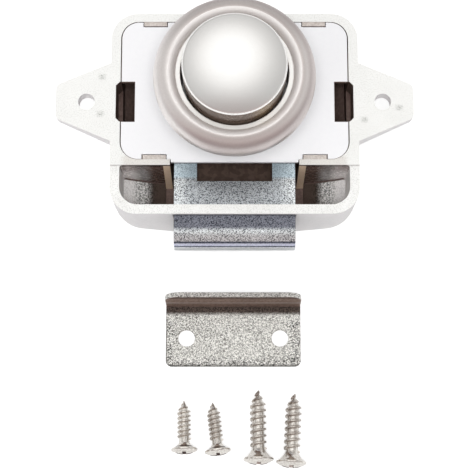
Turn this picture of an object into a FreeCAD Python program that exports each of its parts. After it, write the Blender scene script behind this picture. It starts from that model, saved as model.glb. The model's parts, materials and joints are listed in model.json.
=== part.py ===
"""Push button cabinet latch with its rosette, strike plate and screws, in millimetres.

The origin is midway between the two ear screw holes, on the face of the case that lies
against the door.  +Z points out through the door towards the knob, +X along the line of
the ears, and the bolt comes out towards -Y.
"""
import FreeCAD, Part
import math
import os

import Sketcher
from FreeCAD import Placement, Rotation, Vector

SIZES = {
    # die cast case
    "case_half_width": 30.15,
    "case_top": 22.4,
    "case_foot": 27.7,
    "case_depth": 24.0,
    "case_wall": 2.35,
    "case_foot_wall": 2.3,
    "case_top_wall": 2.1,
    "case_floor": 2.0,
    "case_corner": 6.5,
    "cavity_corner": 4.4,
    "back_arch_radius": 45.0,
    "back_flat_half": 12.96,
    "divider_low": 15.8,
    "divider_wall": 1.4,
    "channel_gap": 0.95,
    "pocket_corner": 0.7,
    "rim_step": 0.4,
    "rib_gap": 0.35,
    "rib_width": 2.3,
    "rib_height": 5.0,
    "gusset_foot": 2.1,
    "ledge_width": 1.5,
    "ledge_depth": 2.0,
    "side_notch_half": 5.0,
    "side_notch_depth": 1.1,
    "side_notch_fall": 8.0,
    "side_notch_bevel": 0.9,
    # ears with the screw holes
    "ear_root_half": 9.8,
    "ear_tip_half": 4.2,
    "ear_reach": 43.5,
    "ear_root_thick": 5.0,
    "ear_tip_thick": 1.8,
    "ear_corner": 1.8,
    "ear_hole_spacing": 72.0,
    "ear_hole_radius": 2.0,
    # cover plate and its cast stakes
    "plate_thick": 1.2,
    "plate_recess": 0.1,
    "plate_gap": 0.2,
    "plate_tongue": 0.65,
    "stake_middle": 19.4,
    "stake_half": 2.8,
    "stake_reach": 1.1,
    "stake_gap": 0.2,
    "stake_height": 3.5,
    "plate_notch_inner": 24.3,
    # door barrel
    "barrel_radius": 12.2,
    "barrel_wall": 0.8,
    "barrel_stop_gap": 1.0,
    "barrel_flange_width": 2.3,
    "barrel_flange_thick": 0.6,
    "barrel_seat_gap": 0.05,
    "guide_wall": 0.8,
    "guide_stop_gap": 1.5,
    "tooth_pitch": 1.5,
    "tooth_depth": 0.35,
    "tooth_count": 6,
    # rosette
    "door_thick": 19.2,
    "rosette_radius": 18.5,
    "rosette_edge": 1.4,
    "rosette_dome_radius": 4.2,
    "rosette_height": 5.6,
    "crest_inset": 3.3,
    "crest_radius": 2.0,
    "lip_fall": 1.1,
    "lip_width": 1.1,
    "lip_step": 0.3,
    "rosette_rim_width": 1.3,
    "tube_wall": 0.6,
    "tube_gap": 0.1,
    "tube_length": 14.6,
    "tube_grip": 1.0,
    "sleeve_wall": 1.1,
    "grip_height": 1.0,
    "grip_thick": 0.35,
    "grip_play": 0.05,
    "grip_split_half": 3.0,
    # knob
    "knob_gap": 0.55,
    "knob_wall": 1.15,
    "knob_skirt": 9.0,
    "knob_bevel": 0.3,
    "knob_dome": 2.3,
    "knob_top_thick": 1.0,
    "boss_radius": 4.5,
    "boss_length": 13.0,
    "knob_travel": 7.5,
    # plunger
    "neck_radius": 5.0,
    "running_gap": 0.2,
    "neck_step": 2.0,
    "spigot_radius": 3.0,
    "spigot_step": 1.0,
    "press_gap": 0.03,
    "knob_pin_radius": 1.0,
    "knob_pin_rise": 4.0,
    "stop_gap": 0.3,
    "foot_half_width": 6.0,
    "foot_front": 12.0,
    "foot_back": 5.0,
    "foot_floor_gap": 1.0,
    # bolt of folded sheet
    "bolt_half_width": 14.65,
    "bolt_slot_gap": 0.25,
    "bolt_plate_gap": 0.4,
    "bolt_sheet": 1.6,
    "bolt_rear_strap": 3.2,
    "nose_start": 31.0,
    "nose_radius": 4.6,
    "leg_rise": 3.4,
    "leg_end": 5.0,
    "window_half_width": 9.1,
    "window_front": 19.4,
    "window_back_gap": 0.8,
    "wing_seat": 8.0,
    "wing_length": 4.0,
    "tab_half_width": 3.9,
    "tab_below": 4.0,
    "lug_gap": 0.7,
    "lug_half_length": 2.2,
    "lug_above": 2.6,
    "bolt_travel": 6.0,
    # drive pin and roller
    "drive_pin_radius": 1.5,
    "drive_pin_overhang": 0.7,
    "drive_pin_y": 7.25,
    "drive_pin_rise": 9.5,
    "roller_radius": 2.0,
    "roller_play": 0.08,
    "wedge_gap": 0.1,
    # bolt return springs
    "return_spring_x": 20.0,
    "return_spring_z": 7.0,
    "return_spring_radius": 2.6,
    "return_wire_radius": 0.3,
    "return_turns": 9,
    "spigot_length": 5.0,
    "peg_radius": 1.8,
    "peg_length": 5.0,
    "peg_shank_radius": 1.2,
    "spring_seat_gap": 0.1,
    # knob spring
    "knob_spring_play": 0.55,
    "knob_wire_radius": 0.45,
    "knob_turns": 7,
    # heart follower, its bracket, pin, leaf spring and rivets
    "follower_x": 11.0,
    "follower_y": 0.5,
    "follower_pivot_rise": 2.5,
    "follower_tip_rise": 11.0,
    "follower_wire_radius": 0.6,
    "follower_tip_radius": 0.5,
    "follower_hub_radius": 1.6,
    "follower_hub_half": 0.8,
    "follower_pin_radius": 0.7,
    "follower_swing": 1.5,
    "groove_depth": 1.2,
    "groove_radius": 0.9,
    "tip_clearance": 0.3,
    "bracket_sheet": 0.8,
    "cheek_gap": 0.2,
    "bracket_half_length": 2.0,
    "bracket_foot_length": 4.5,
    "cheek_height": 3.8,
    "leaf_thick": 0.3,
    "leaf_half_width": 1.0,
    "leaf_rise": 9.5,
    "leaf_gap": 0.3,
    "rivet_radius": 0.8,
    "rivet_head_radius": 1.3,
    "rivet_head_thick": 0.5,
    # strike plate
    "strike_middle": -0.35,
    "strike_half_width": 17.0,
    "strike_top": 46.05,
    "strike_length": 16.35,
    "strike_sheet": 1.3,
    "strike_flange": 10.5,
    "strike_lean": 7.0,
    "strike_corner": 1.5,
    "strike_flange_corner": 3.6,
    "strike_hole_spacing": 23.6,
    "strike_hole_inset": 9.25,
    "strike_hole_radius": 2.1,
    # screws that lie beside the latch
    "ear_screw_length": 18.1,
    "ear_screw_head": 3.7,
    "ear_screw_thread": 1.9,
    "ear_screw_turns": 8,
    "strike_screw_length": 13.3,
    "strike_screw_head": 3.05,
    "strike_screw_thread": 1.6,
    "strike_screw_turns": 6,
    "screw_head_height": 1.2,
    "screw_core": 0.74,
    "strike_screw_left_x": -12.4,
    "strike_screw_left_y": -84.5,
    "strike_screw_left_turn": 1.3,
    "strike_screw_right_x": -4.0,
    "strike_screw_right_y": -84.9,
    "strike_screw_right_turn": 6.8,
    "ear_screw_left_x": 5.9,
    "ear_screw_left_y": -87.0,
    "ear_screw_left_turn": 0.3,
    "ear_screw_right_x": 13.9,
    "ear_screw_right_y": -87.8,
    "ear_screw_right_turn": -3.2,
}

doc = FreeCAD.newDocument("cabinet_latch")
sheet = doc.addObject("Spreadsheet::Sheet", "Sizes")
for row, (alias, number) in enumerate(SIZES.items(), start=1):
    sheet.set(f"A{row}", alias)
    sheet.set(f"B{row}", str(number))
    sheet.setAlias(f"B{row}", alias)
doc.recompute()


class Size:
    """A number read from the sheet together with the formula that binds a property to it."""

    def __init__(self, number, formula):
        self.number = float(number)
        self.formula = formula

    def __float__(self):
        return self.number

    def __add__(self, other):
        other = as_size(other)
        return Size(self.number + other.number, f"({self.formula} + {other.formula})")

    def __radd__(self, other):
        return as_size(other) + self

    def __sub__(self, other):
        other = as_size(other)
        return Size(self.number - other.number, f"({self.formula} - {other.formula})")

    def __rsub__(self, other):
        return as_size(other) - self

    def __mul__(self, other):
        other = as_size(other)
        return Size(self.number * other.number, f"({self.formula} * {other.formula})")

    def __rmul__(self, other):
        return as_size(other) * self

    def __truediv__(self, other):
        other = as_size(other)
        return Size(self.number / other.number, f"({self.formula} / {other.formula})")

    def __neg__(self):
        return Size(-self.number, f"(0 - {self.formula})")


def as_size(value):
    """A plain number as a Size."""
    return value if isinstance(value, Size) else Size(value, repr(float(value)))


def root(value):
    """Square root of a Size."""
    return Size(math.sqrt(value.number), f"sqrt({value.formula})")


def size(alias):
    """The Size that a cell of the sheet holds."""
    return Size(sheet.get(alias), f"Sizes.{alias}")


def bind(item, name, value):
    """Bind a property of an object to a Size."""
    item.setExpression(name, as_size(value).formula)


def box(name, x, y, z):
    """Block between two values on each axis."""
    item = doc.addObject("Part::Box", name)
    for length, axis, (low, high) in (("Length", "x", x), ("Width", "y", y), ("Height", "z", z)):
        bind(item, length, as_size(high) - low)
        bind(item, f"Placement.Base.{axis}", low)
    return item


AXIS_TURNS = {
    "x": Rotation(Vector(0, 1, 0), 90),
    "y": Rotation(Vector(1, 0, 0), -90),
    "z": Rotation(),
}


def rod(name, radius, axis, span, centre):
    """Cylinder along an axis, between the two values of span, about the point centre."""
    item = doc.addObject("Part::Cylinder", name)
    item.Placement = Placement(Vector(), AXIS_TURNS[axis])
    bind(item, "Radius", radius)
    bind(item, "Height", as_size(span[1]) - span[0])
    others = iter(centre)
    for letter in "xyz":
        bind(item, f"Placement.Base.{letter}", span[0] if letter == axis else next(others))
    return item


def fuse(name, *pieces):
    """Union of pieces."""
    item = doc.addObject("Part::MultiFuse", name)
    item.Shapes = list(pieces)
    return item


def common(name, *pieces):
    """The space that all pieces share."""
    item = doc.addObject("Part::MultiCommon", name)
    item.Shapes = list(pieces)
    return item


def cut(name, base, *tools):
    """The base without the tools."""
    item = doc.addObject("Part::Cut", name)
    item.Base = base
    item.Tool = tools[0] if len(tools) == 1 else fuse(f"{name}_tools", *tools)
    return item


def mirrored(name, source):
    """The source mirrored from +X to -X."""
    item = doc.addObject("Part::Mirroring", name)
    item.Source = source
    item.Normal = Vector(1, 0, 0)
    return item


def pair(name, source):
    """The source and its mirror image as separate solids of one sub-part."""
    item = doc.addObject("Part::Compound", name)
    item.Links = [source, mirrored(f"{name}_mirror", source)]
    return item


def computed(name, shape, placement=None):
    """A piece whose shape is worked out here from the sheet."""
    item = doc.addObject("Part::Feature", name)
    item.Shape = shape
    item.Placement = placement or Placement()
    return item


def draw(sketch, corners):
    """Draw a closed outline, anticlockwise, with every corner bound to the sheet.

    A corner is (u, v), or (u, v, radius) where an arc bulging outwards leads to the next one.
    """
    points = [Vector(float(corner[0]), float(corner[1]), 0) for corner in corners]
    for index, corner in enumerate(corners):
        start = points[index]
        end = points[(index + 1) % len(points)]
        if len(corner) == 2:
            sketch.addGeometry(Part.LineSegment(start, end), False)
            continue
        radius = abs(float(corner[2]))
        chord = end - start
        depth = radius - math.sqrt(max(radius ** 2 - (chord.Length / 2) ** 2, 0))
        outwards = Vector(chord.y, -chord.x, 0).normalize()
        side = 1 if float(corner[2]) > 0 else -1
        middle = (start + end) / 2 + outwards * depth * side
        sketch.addGeometry(Part.Arc(start, middle, end), False)
    ends = []
    for index, start in enumerate(points):
        first_is_start = sketch.getPoint(index, 1).distanceToPoint(start) < 1e-6
        ends.append((1, 2) if first_is_start else (2, 1))
    for index, corner in enumerate(corners):
        before = index - 1 if index else len(corners) - 1
        sketch.addConstraint(
            Sketcher.Constraint("Coincident", before, ends[before][1], index, ends[index][0])
        )
        for kind, axis, value in (("DistanceX", -2, corner[0]), ("DistanceY", -1, corner[1])):
            if not isinstance(value, Size):
                sketch.addConstraint(
                    Sketcher.Constraint("PointOnObject", index, ends[index][0], axis)
                )
                continue
            number = sketch.addConstraint(
                Sketcher.Constraint(kind, -1, 1, index, ends[index][0], float(value))
            )
            label = f"{kind}{index}"
            sketch.renameConstraint(number, label)
            sketch.setExpression(f"Constraints.{label}", value.formula)
        if len(corner) == 3:
            radius = Size(abs(float(corner[2])), corner[2].formula)
            number = sketch.addConstraint(Sketcher.Constraint("Radius", index, float(radius)))
            sketch.renameConstraint(number, f"Bend{index}")
            sketch.setExpression(f"Constraints.Bend{index}", f"abs({radius.formula})")


def outline_body(name, plane, corners):
    """A body with one sketch on one of its own origin planes."""
    body = doc.addObject("PartDesign::Body", name)
    sketch = body.newObject("Sketcher::SketchObject", f"{name}_outline")
    support = next(item for item in body.Origin.OriginFeatures if item.Role == plane)
    sketch.AttachmentSupport = [(support, "")]
    sketch.MapMode = "FlatFace"
    draw(sketch, corners)
    return body, sketch


def prism(name, plane, corners, low, high):
    """Outline padded between two values along the plane's own axis."""
    body, sketch = outline_body(name, plane, corners)
    offset = -as_size(high) if plane == "XZ_Plane" else as_size(low)
    bind(sketch, "AttachmentOffset.Base.z", offset)
    pad = body.newObject("PartDesign::Pad", f"{name}_pad")
    pad.Profile = sketch
    bind(pad, "Length", as_size(high) - low)
    sketch.Visibility = False
    return body


def turned(name, corners):
    """Half profile (radius, height) turned round the knob axis."""
    body, sketch = outline_body(name, "XZ_Plane", corners)
    turn = body.newObject("PartDesign::Revolution", f"{name}_turn")
    turn.Profile = sketch
    turn.ReferenceAxis = (sketch, ["V_Axis"])
    turn.Angle = 360
    sketch.Visibility = False
    return body


def rounded_block(name, x, y, z, radii):
    """Block with upright corners rounded: radii start at low x, low y and go anticlockwise."""
    (west, east), (south, north) = x, y
    south_west, south_east, north_east, north_west = radii
    corners = [
        (west + south_west, south),
        (east - south_east, south, south_east),
        (east, south + south_east),
        (east, north - north_east, north_east),
        (east - north_east, north),
        (west + north_west, north, north_west),
        (west, north - north_west),
        (west, south + south_west, south_west),
    ]
    return prism(name, "XY_Plane", corners, *z)


def round_upright_edges(name, item, radius, wanted):
    """Round the upright edges of an object that wanted() picks by their middle."""
    doc.recompute()
    result = doc.addObject("Part::Fillet", name)
    result.Base = item
    chosen = []
    for number, edge in enumerate(item.Shape.Edges, start=1):
        first, last = edge.Vertexes[0].Point, edge.Vertexes[-1].Point
        upright = abs(first.x - last.x) < 1e-6 and abs(first.y - last.y) < 1e-6
        if upright and wanted((first + last) / 2):
            chosen.append((number, float(radius), float(radius)))
    result.Edges = chosen
    return result


def arc_between(start, start_way, end, end_way):
    """Two tangent arcs in space from one point and direction to another."""
    gap = end - start
    both = start_way + end_way
    spread = 2 * (1 - start_way.dot(end_way))
    along = gap.dot(both)
    reach = (math.sqrt(along ** 2 + spread * gap.dot(gap)) - along) / spread
    first_pole = start + start_way * reach
    last_pole = end - end_way * reach
    meeting = (first_pole + last_pole) / 2
    edges = []
    for here, pole, there in ((start, first_pole, meeting), (meeting, last_pole, end)):
        weight = (there - here).Length / (2 * reach)
        crown = (here + pole * (2 * weight) + there) / (2 + 2 * weight)
        edges.append(Part.Arc(here, crown, there).toShape())
    return edges


def coil(radius, wire_radius, turns, length):
    """Compression spring standing on z = 0: one round wire in quarter turns."""
    path_height = length - 2 * wire_radius
    quarter_count = 4 * turns
    rise = path_height / quarter_count
    edges = []
    nodes = []
    for number in range(quarter_count + 1):
        angle = math.radians(90 * number)
        place = Vector(radius * math.cos(angle), radius * math.sin(angle), wire_radius + rise * number)
        way = Vector(-math.sin(angle), math.cos(angle), rise / (radius * math.pi / 2)).normalize()
        nodes.append((place, way))
    for (start, start_way), (end, end_way) in zip(nodes, nodes[1:]):
        edges.extend(arc_between(start, start_way, end, end_way))
    start, start_way = nodes[0]
    section = Part.Wire(Part.Circle(start, start_way, wire_radius).toShape())
    spring = Part.Wire(edges).makePipeShell([section], True, False)
    gap = path_height / turns - 2 * wire_radius
    print(f"coil of {turns} turns: least gap between turns {gap:.2f}, volume {spring.Volume:.1f}")
    return spring


def slot_tool(start, end, radius, low_x, high_x):
    """Straight round-ended slot between two (y, z) points, cut from low_x to high_x."""
    way = Vector(0, end[0] - start[0], end[1] - start[1])
    first = Vector(low_x, *start)
    last = Vector(low_x, *end)
    side = Vector(0, way.z, -way.y).normalize() * radius
    tip = Vector(way).normalize() * radius
    wire = Part.Wire([
        Part.LineSegment(first + side, last + side).toShape(),
        Part.Arc(last + side, last + tip, last - side).toShape(),
        Part.LineSegment(last - side, first - side).toShape(),
        Part.Arc(first - side, first - tip, first + side).toShape(),
    ])
    return Part.Face(wire).extrude(Vector(high_x - low_x, 0, 0))


# Heights and places that several pieces share
plate_top = -size("plate_recess")
plate_bottom = plate_top - size("plate_thick")
case_side = size("case_half_width")
cavity_side = case_side - size("case_wall")
cavity_top = size("case_top") - size("case_top_wall")
pocket_low = size("case_foot_wall") - size("case_foot")
divider_low = -size("divider_low")
divider_high = divider_low + size("divider_wall")
floor = size("case_floor") - size("case_depth")
rest_plane = -size("case_depth")
inner_arch = size("back_arch_radius") - size("case_floor")
flat_half = size("back_flat_half")
arch_z = floor + root(inner_arch * inner_arch - flat_half * flat_half)
bolt_top = plate_bottom - size("bolt_plate_gap")
bolt_under = bolt_top - size("bolt_sheet")
leg_bottom = floor + size("leg_rise")
leg_top = leg_bottom + size("bolt_sheet")
slot_gap = size("bolt_slot_gap")
bolt_side = size("bolt_half_width")
channel_side = bolt_side + size("channel_gap")
pin_y = -size("drive_pin_y")
pin_z = floor + size("drive_pin_rise")
spring_x = size("return_spring_x")
spring_z = -size("return_spring_z")
follower_x = size("follower_x")
follower_y = size("follower_y")
pivot_z = floor + size("follower_pivot_rise")
tip_z = floor + size("follower_tip_rise")
foot_side = size("foot_half_width")
foot_bottom = floor + size("knob_travel") + size("foot_floor_gap")
lug_inside = foot_side + size("lug_gap")
lug_outside = lug_inside + size("bolt_sheet")
barrel_bore = size("neck_radius") + size("running_gap")
guide_radius = barrel_bore + size("guide_wall")
flange_radius = size("barrel_radius") + size("barrel_flange_width")
rosette_bore = size("barrel_radius") + size("tube_gap")
tube_radius = rosette_bore + size("tube_wall")
rosette_crown = size("door_thick") + size("rosette_height")
knob_edge = rosette_crown + size("knob_travel") - size("knob_dome")
knob_skirt_end = knob_edge - size("knob_skirt")
knob_seat = knob_edge - size("knob_top_thick")
boss_end = knob_seat - size("boss_length")
neck_top = boss_end - size("neck_step")
spigot_top = knob_seat - size("spigot_step")
knob_pin_z = boss_end + size("knob_pin_rise")
PAST = as_size(2.0)


def latch_case():
    """Die cast case with ears, dividers, ledges, stakes and the slot for the bolt."""
    radius = size("case_corner")
    outer = rounded_block(
        "case_block", (-case_side, case_side), (-size("case_foot"), size("case_top")),
        (rest_plane, as_size(0)), (radius,) * 4,
    )
    long_y = (-size("case_foot") - PAST, size("case_top") + PAST)
    arch = rod("case_arch", size("back_arch_radius"), "y", long_y, (as_size(0), arch_z))
    shell = common("case_shell", outer, arch)

    corner = size("cavity_corner")
    small = size("pocket_corner")
    above = (floor, PAST)
    upper = rounded_block(
        "upper_cavity", (-cavity_side, cavity_side), (divider_high, cavity_top),
        above, (corner,) * 4,
    )
    lower = rounded_block(
        "lower_cavity", (-cavity_side, cavity_side), (pocket_low, divider_low),
        above, (corner, corner, small, small),
    )
    channel = box(
        "bolt_channel", (-channel_side, channel_side), (divider_low - PAST, divider_high + PAST),
        (floor, PAST),
    )
    hollow = fuse("case_hollow", upper, lower, channel)
    hollow_arch = rod("hollow_arch", inner_arch, "y", long_y, (as_size(0), arch_z))
    cavity = common("case_cavity", hollow, hollow_arch)

    slot = box(
        "bolt_slot", (-bolt_side - slot_gap, bolt_side + slot_gap),
        (-size("case_foot") - PAST, pocket_low + PAST), (leg_bottom - slot_gap, bolt_top + slot_gap),
    )
    step = box(
        "rim_step_cut", (-case_side - PAST, case_side + PAST),
        (-size("case_foot") - PAST, divider_low), (-size("rim_step"), PAST),
    )
    half = size("side_notch_half")
    bevel = size("side_notch_bevel")
    notch_end = cavity_side + size("side_notch_depth")
    notch = prism(
        "side_notch", "XY_Plane",
        [
            (cavity_side - PAST, -half),
            (notch_end - bevel, -half),
            (notch_end, bevel - half),
            (notch_end, half - bevel),
            (notch_end - bevel, half),
            (cavity_side - PAST, half),
        ],
        -size("side_notch_fall"), PAST,
    )
    hole_x = size("ear_hole_spacing") / 2
    hole = rod("ear_hole", size("ear_hole_radius"), "z", (-PAST * 4, PAST), (hole_x, as_size(0)))
    hollowed = cut("case_hollowed", shell, cavity, slot, step, notch, mirrored("side_notch_2", notch))

    ear = latch_ear()
    drilled = cut("ear_drilled", ear, hole)
    added = [drilled, mirrored("ear_drilled_2", drilled)]
    for detail in case_details(arch):
        added.extend((detail, mirrored(f"{detail.Name}_2", detail)))
    return fuse("latch_case", hollowed, *added)


def latch_ear():
    """One tapering ear that carries a screw hole."""
    root_half = size("ear_root_half")
    tip_half = size("ear_tip_half")
    reach = size("ear_reach")
    inside = case_side - size("case_wall") / 2
    slope = (root_half - tip_half) / (reach - case_side)
    inside_half = root_half + slope * (case_side - inside)
    plan = prism(
        "ear_plan", "XY_Plane",
        [(inside, -inside_half), (reach, -tip_half), (reach, tip_half), (inside, inside_half)],
        -size("ear_root_thick"), as_size(0.0),
    )
    plan = round_upright_edges(
        "ear_rounded", plan, size("ear_corner"), lambda middle: middle.x > float(case_side) + 1,
    )
    side = prism(
        "ear_side", "XZ_Plane",
        [
            (inside, -size("ear_root_thick")),
            (case_side, -size("ear_root_thick")),
            (reach + PAST, -size("ear_tip_thick")),
            (reach + PAST, PAST),
            (inside, PAST),
        ],
        -root_half - PAST, root_half + PAST,
    )
    return common("ear", plan, side)


def case_details(arch):
    """Details of the +X half that are cast onto the case and mirrored to the other half."""
    overlap = size("case_wall") / 2
    rib_inner = bolt_side + size("rib_gap")
    rib_block = box(
        "guide_rib_block", (rib_inner, rib_inner + size("rib_width")),
        (pocket_low - overlap, divider_low), (rest_plane, floor + size("rib_height")),
    )
    rib = common("guide_rib", rib_block, arch)
    rib_top = floor + size("rib_height")
    gusset = prism(
        "divider_gusset", "YZ_Plane",
        [
            (divider_low - size("gusset_foot"), rib_top - overlap),
            (divider_low + overlap, rib_top - overlap),
            (divider_low + overlap, -size("rim_step") - size("pocket_corner")),
            (divider_low, -size("rim_step") - size("pocket_corner")),
            (divider_low - size("gusset_foot"), rib_top),
        ],
        channel_side, rib_inner + size("rib_width"),
    )
    stake_low = size("stake_middle") - size("stake_half")
    stake_high = size("stake_middle") + size("stake_half")
    stake_z = (plate_top - size("stake_height"), plate_top)
    reach = size("stake_reach")
    top_stake = box(
        "top_stake", (stake_low, stake_high), (cavity_top - reach, cavity_top + overlap), stake_z,
    )
    low_stake = box(
        "low_stake", (stake_low, stake_high), (divider_high - reach / 2, divider_high + reach), stake_z,
    )
    ledge = size("ledge_width")
    ledge_z = (plate_bottom - size("ledge_depth"), plate_bottom)
    ledge_x = (stake_low - ledge, stake_high + ledge)
    top_ledge = box(
        "top_ledge", ledge_x, (cavity_top - reach - ledge / 2, cavity_top + overlap), ledge_z,
    )
    low_ledge = box(
        "low_ledge", (channel_side, stake_high + ledge),
        (divider_high - reach / 2, divider_high + ledge), ledge_z,
    )
    side_ledge = box(
        "side_ledge", (cavity_side - ledge, cavity_side + overlap),
        (size("side_notch_half") + ledge, size("side_notch_half") + 5 * ledge), ledge_z,
    )
    spigot = rod(
        "spring_spigot", size("peg_radius"), "y",
        (divider_high - reach / 2, divider_high + size("spigot_length")), (spring_x, spring_z),
    )
    return [rib, gusset, top_stake, low_stake, top_ledge, low_ledge, side_ledge, spigot]


def cover_plate():
    """Sheet cover between the walls, notched round the stakes and open over the side notches."""
    gap = size("plate_gap")
    corner = size("cavity_corner") - gap
    side = cavity_side - gap
    top = cavity_top - gap / 2
    low = divider_high + gap / 4
    z = (plate_bottom, plate_top)
    sheet_body = rounded_block("plate_block", (-side, side), (low, top), z, (corner,) * 4)
    tongue_side = channel_side - gap
    tongue = box(
        "plate_tongue_block", (-tongue_side, tongue_side),
        (divider_high - size("plate_tongue"), low + PAST), z,
    )
    whole = fuse("plate_whole", sheet_body, tongue)
    stake_gap = size("stake_gap")
    reach = size("stake_reach") + stake_gap
    notch_x = (
        size("stake_middle") - size("stake_half") - stake_gap,
        size("stake_middle") + size("stake_half") + stake_gap,
    )
    tall = (plate_bottom - PAST, plate_top + PAST)
    top_notch = box("plate_top_notch", notch_x, (cavity_top - reach, cavity_top + PAST), tall)
    low_notch = box("plate_low_notch", notch_x, (divider_high - PAST, divider_high + reach), tall)
    half = size("side_notch_half")
    side_notch = box(
        "plate_side_notch", (size("plate_notch_inner"), cavity_side + PAST), (-half, half), tall,
    )
    openings = []
    for notch in (top_notch, low_notch, side_notch):
        openings.extend((notch, mirrored(f"{notch.Name}_2", notch)))
    play = size("barrel_seat_gap")
    centre = (as_size(0), as_size(0))
    hole = rod("plate_hole", size("barrel_radius") + play, "z", tall, centre)
    seat_z = (plate_bottom - PAST, plate_bottom + size("barrel_flange_thick") + play)
    seat = rod("plate_seat", flange_radius + play, "z", seat_z, centre)
    return cut("cover_plate", whole, hole, seat, *openings)


def door_barrel():
    """Barrel that stands in the door hole, with the plunger guide and the ratchet grooves."""
    outer = size("barrel_radius")
    top = knob_skirt_end - size("knob_travel") - size("barrel_stop_gap")
    guide_top = boss_end - size("knob_travel") - size("guide_stop_gap")
    corners = [
        (barrel_bore, plate_bottom),
        (flange_radius, plate_bottom),
        (flange_radius, plate_bottom + size("barrel_flange_thick")),
        (outer, plate_bottom + size("barrel_flange_thick")),
        (outer, top),
        (outer - size("barrel_wall"), top),
        (outer - size("barrel_wall"), plate_top),
        (guide_radius, plate_top),
        (guide_radius, guide_top),
        (barrel_bore, guide_top),
    ]
    barrel = turned("barrel_body", corners)
    teeth = []
    half_tooth = size("tooth_pitch") / 4
    root_radius = outer - size("tooth_depth")
    for number in range(int(sheet.get("tooth_count"))):
        middle = top - size("tooth_pitch") * (number + 1)
        span = (middle - half_tooth, middle + half_tooth)
        ring = rod(f"tooth_ring_{number}", outer + PAST, "z", span, (as_size(0), as_size(0)))
        core = rod(f"tooth_core_{number}", root_radius, "z", span, (as_size(0), as_size(0)))
        teeth.append(cut(f"tooth_groove_{number}", ring, core))
    return cut("door_barrel", barrel, *teeth)


def rosette():
    """Domed outer ring that closes the door hole, hollow underneath."""
    base = size("door_thick")
    rim = size("rosette_radius")
    shoulder = base + size("rosette_edge")
    lip_z = rosette_crown - size("lip_fall")
    inner_rim = rim - size("rosette_rim_width")
    sleeve = tube_radius + size("press_gap")
    sleeve_outside = sleeve + size("sleeve_wall")
    roof = rosette_crown - 2 * size("rosette_rim_width")
    tube_seat = shoulder + size("tube_grip") + size("press_gap")
    corners = [
        (sleeve, shoulder),
        (sleeve_outside, shoulder),
        (sleeve_outside, roof),
        (inner_rim, shoulder),
        (inner_rim, base),
        (rim, base),
        (rim, shoulder, size("rosette_dome_radius")),
        (rim - size("crest_inset"), rosette_crown, size("crest_radius")),
        (rosette_bore + size("lip_width"), lip_z),
        (rosette_bore + size("lip_width"), lip_z - size("lip_step")),
        (rosette_bore, lip_z - size("lip_step")),
        (rosette_bore, tube_seat),
        (sleeve, tube_seat),
    ]
    return turned("rosette", corners)


def rosette_tube():
    """Tube pressed into the rosette, which slides over the barrel to suit the door."""
    foot = size("door_thick") - size("tube_length")
    top = size("door_thick") + size("rosette_edge") + size("tube_grip")
    grip_bore = rosette_bore + size("grip_thick")
    grip_top = foot + size("grip_height") + 2 * size("grip_play")
    corners = [
        (grip_bore, foot),
        (tube_radius, foot),
        (tube_radius, top),
        (rosette_bore, top),
        (rosette_bore, grip_top),
        (grip_bore, grip_top),
    ]
    return turned("rosette_tube", corners)


def rosette_grip_ring():
    """Split spring ring in the foot of the rosette tube, which grips the barrel."""
    foot = size("door_thick") - size("tube_length")
    play = size("grip_play")
    inner = size("barrel_radius") + play
    outer = rosette_bore + size("grip_thick") - play
    corners = [
        (inner, foot + play),
        (outer, foot + play),
        (outer, foot + play + size("grip_height")),
        (inner, foot + play + size("grip_height")),
    ]
    ring = turned("grip_body", corners)
    half = size("grip_split_half")
    split = box("grip_split", (-half, half), (as_size(0), outer + PAST), (foot - PAST, foot + 2 * PAST))
    return cut("rosette_grip_ring", ring, split)


def knob_cap():
    """Domed knob with its skirt and the boss that takes the plunger."""
    outer = rosette_bore - size("knob_gap")
    inner = outer - size("knob_wall")
    bevel = size("knob_bevel")
    boss = size("boss_radius")
    bore = size("spigot_radius") + size("press_gap")
    dome = size("knob_dome")
    dome_span = outer - bevel
    dome_radius = (dome_span * dome_span + dome * dome) / (2 * dome)
    corners = [
        (bore, boss_end),
        (boss, boss_end),
        (boss, knob_seat),
        (inner, knob_seat),
        (inner, knob_skirt_end),
        (outer, knob_skirt_end),
        (outer, knob_edge - bevel),
        (dome_span, knob_edge, dome_radius),
        (0, knob_edge + dome),
        (0, spigot_top + size("press_gap")),
        (bore, spigot_top + size("press_gap")),
    ]
    cap = turned("knob_body", corners)
    pin_hole = rod(
        "knob_pin_hole", size("knob_pin_radius") + size("press_gap"), "x", (-outer / 2, outer / 2),
        (as_size(0), knob_pin_z),
    )
    return cut("knob_cap", cap, pin_hole)


def knob_pin():
    """Cross pin that holds the knob on the plunger."""
    half = size("boss_radius") - size("press_gap")
    return rod(
        "knob_pin", size("knob_pin_radius"), "x", (-half, half),
        (as_size(0), knob_pin_z),
    )


def wedge_y(z):
    """Y of the wedge face at height z, for the plunger at rest against the roller."""
    slope = size("bolt_travel") / size("knob_travel")
    length = root(slope * slope + 1)
    distance = size("roller_radius") + size("wedge_gap")
    contact_y = pin_y + distance / length
    contact_z = pin_z + distance * slope / length
    return contact_y - slope * (z - contact_z)


def heart_groove():
    """Grooves round the heart on the +X face of the foot, where the follower tip runs."""
    radius = float(size("groove_radius"))
    low_x = float(foot_side - size("groove_depth"))
    high_x = float(foot_side + PAST)
    rest = (float(follower_y), float(tip_z))
    reach = float(size("knob_travel"))
    swing = float(size("follower_swing"))
    deepest = (rest[0] + swing, rest[1] + reach)
    entry = (rest[0], rest[1] - float(size("tip_clearance")))
    cleft = (rest[0], deepest[1] - radius)
    far_side = (rest[0] - swing, deepest[1] - radius / 2)
    runs = ((entry, deepest), (deepest, cleft), (cleft, far_side), (far_side, entry))
    tools = [slot_tool(start, end, radius, low_x, high_x) for start, end in runs]
    return computed("heart_groove", tools[0].multiFuse(tools[1:]).removeSplitter())


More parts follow.
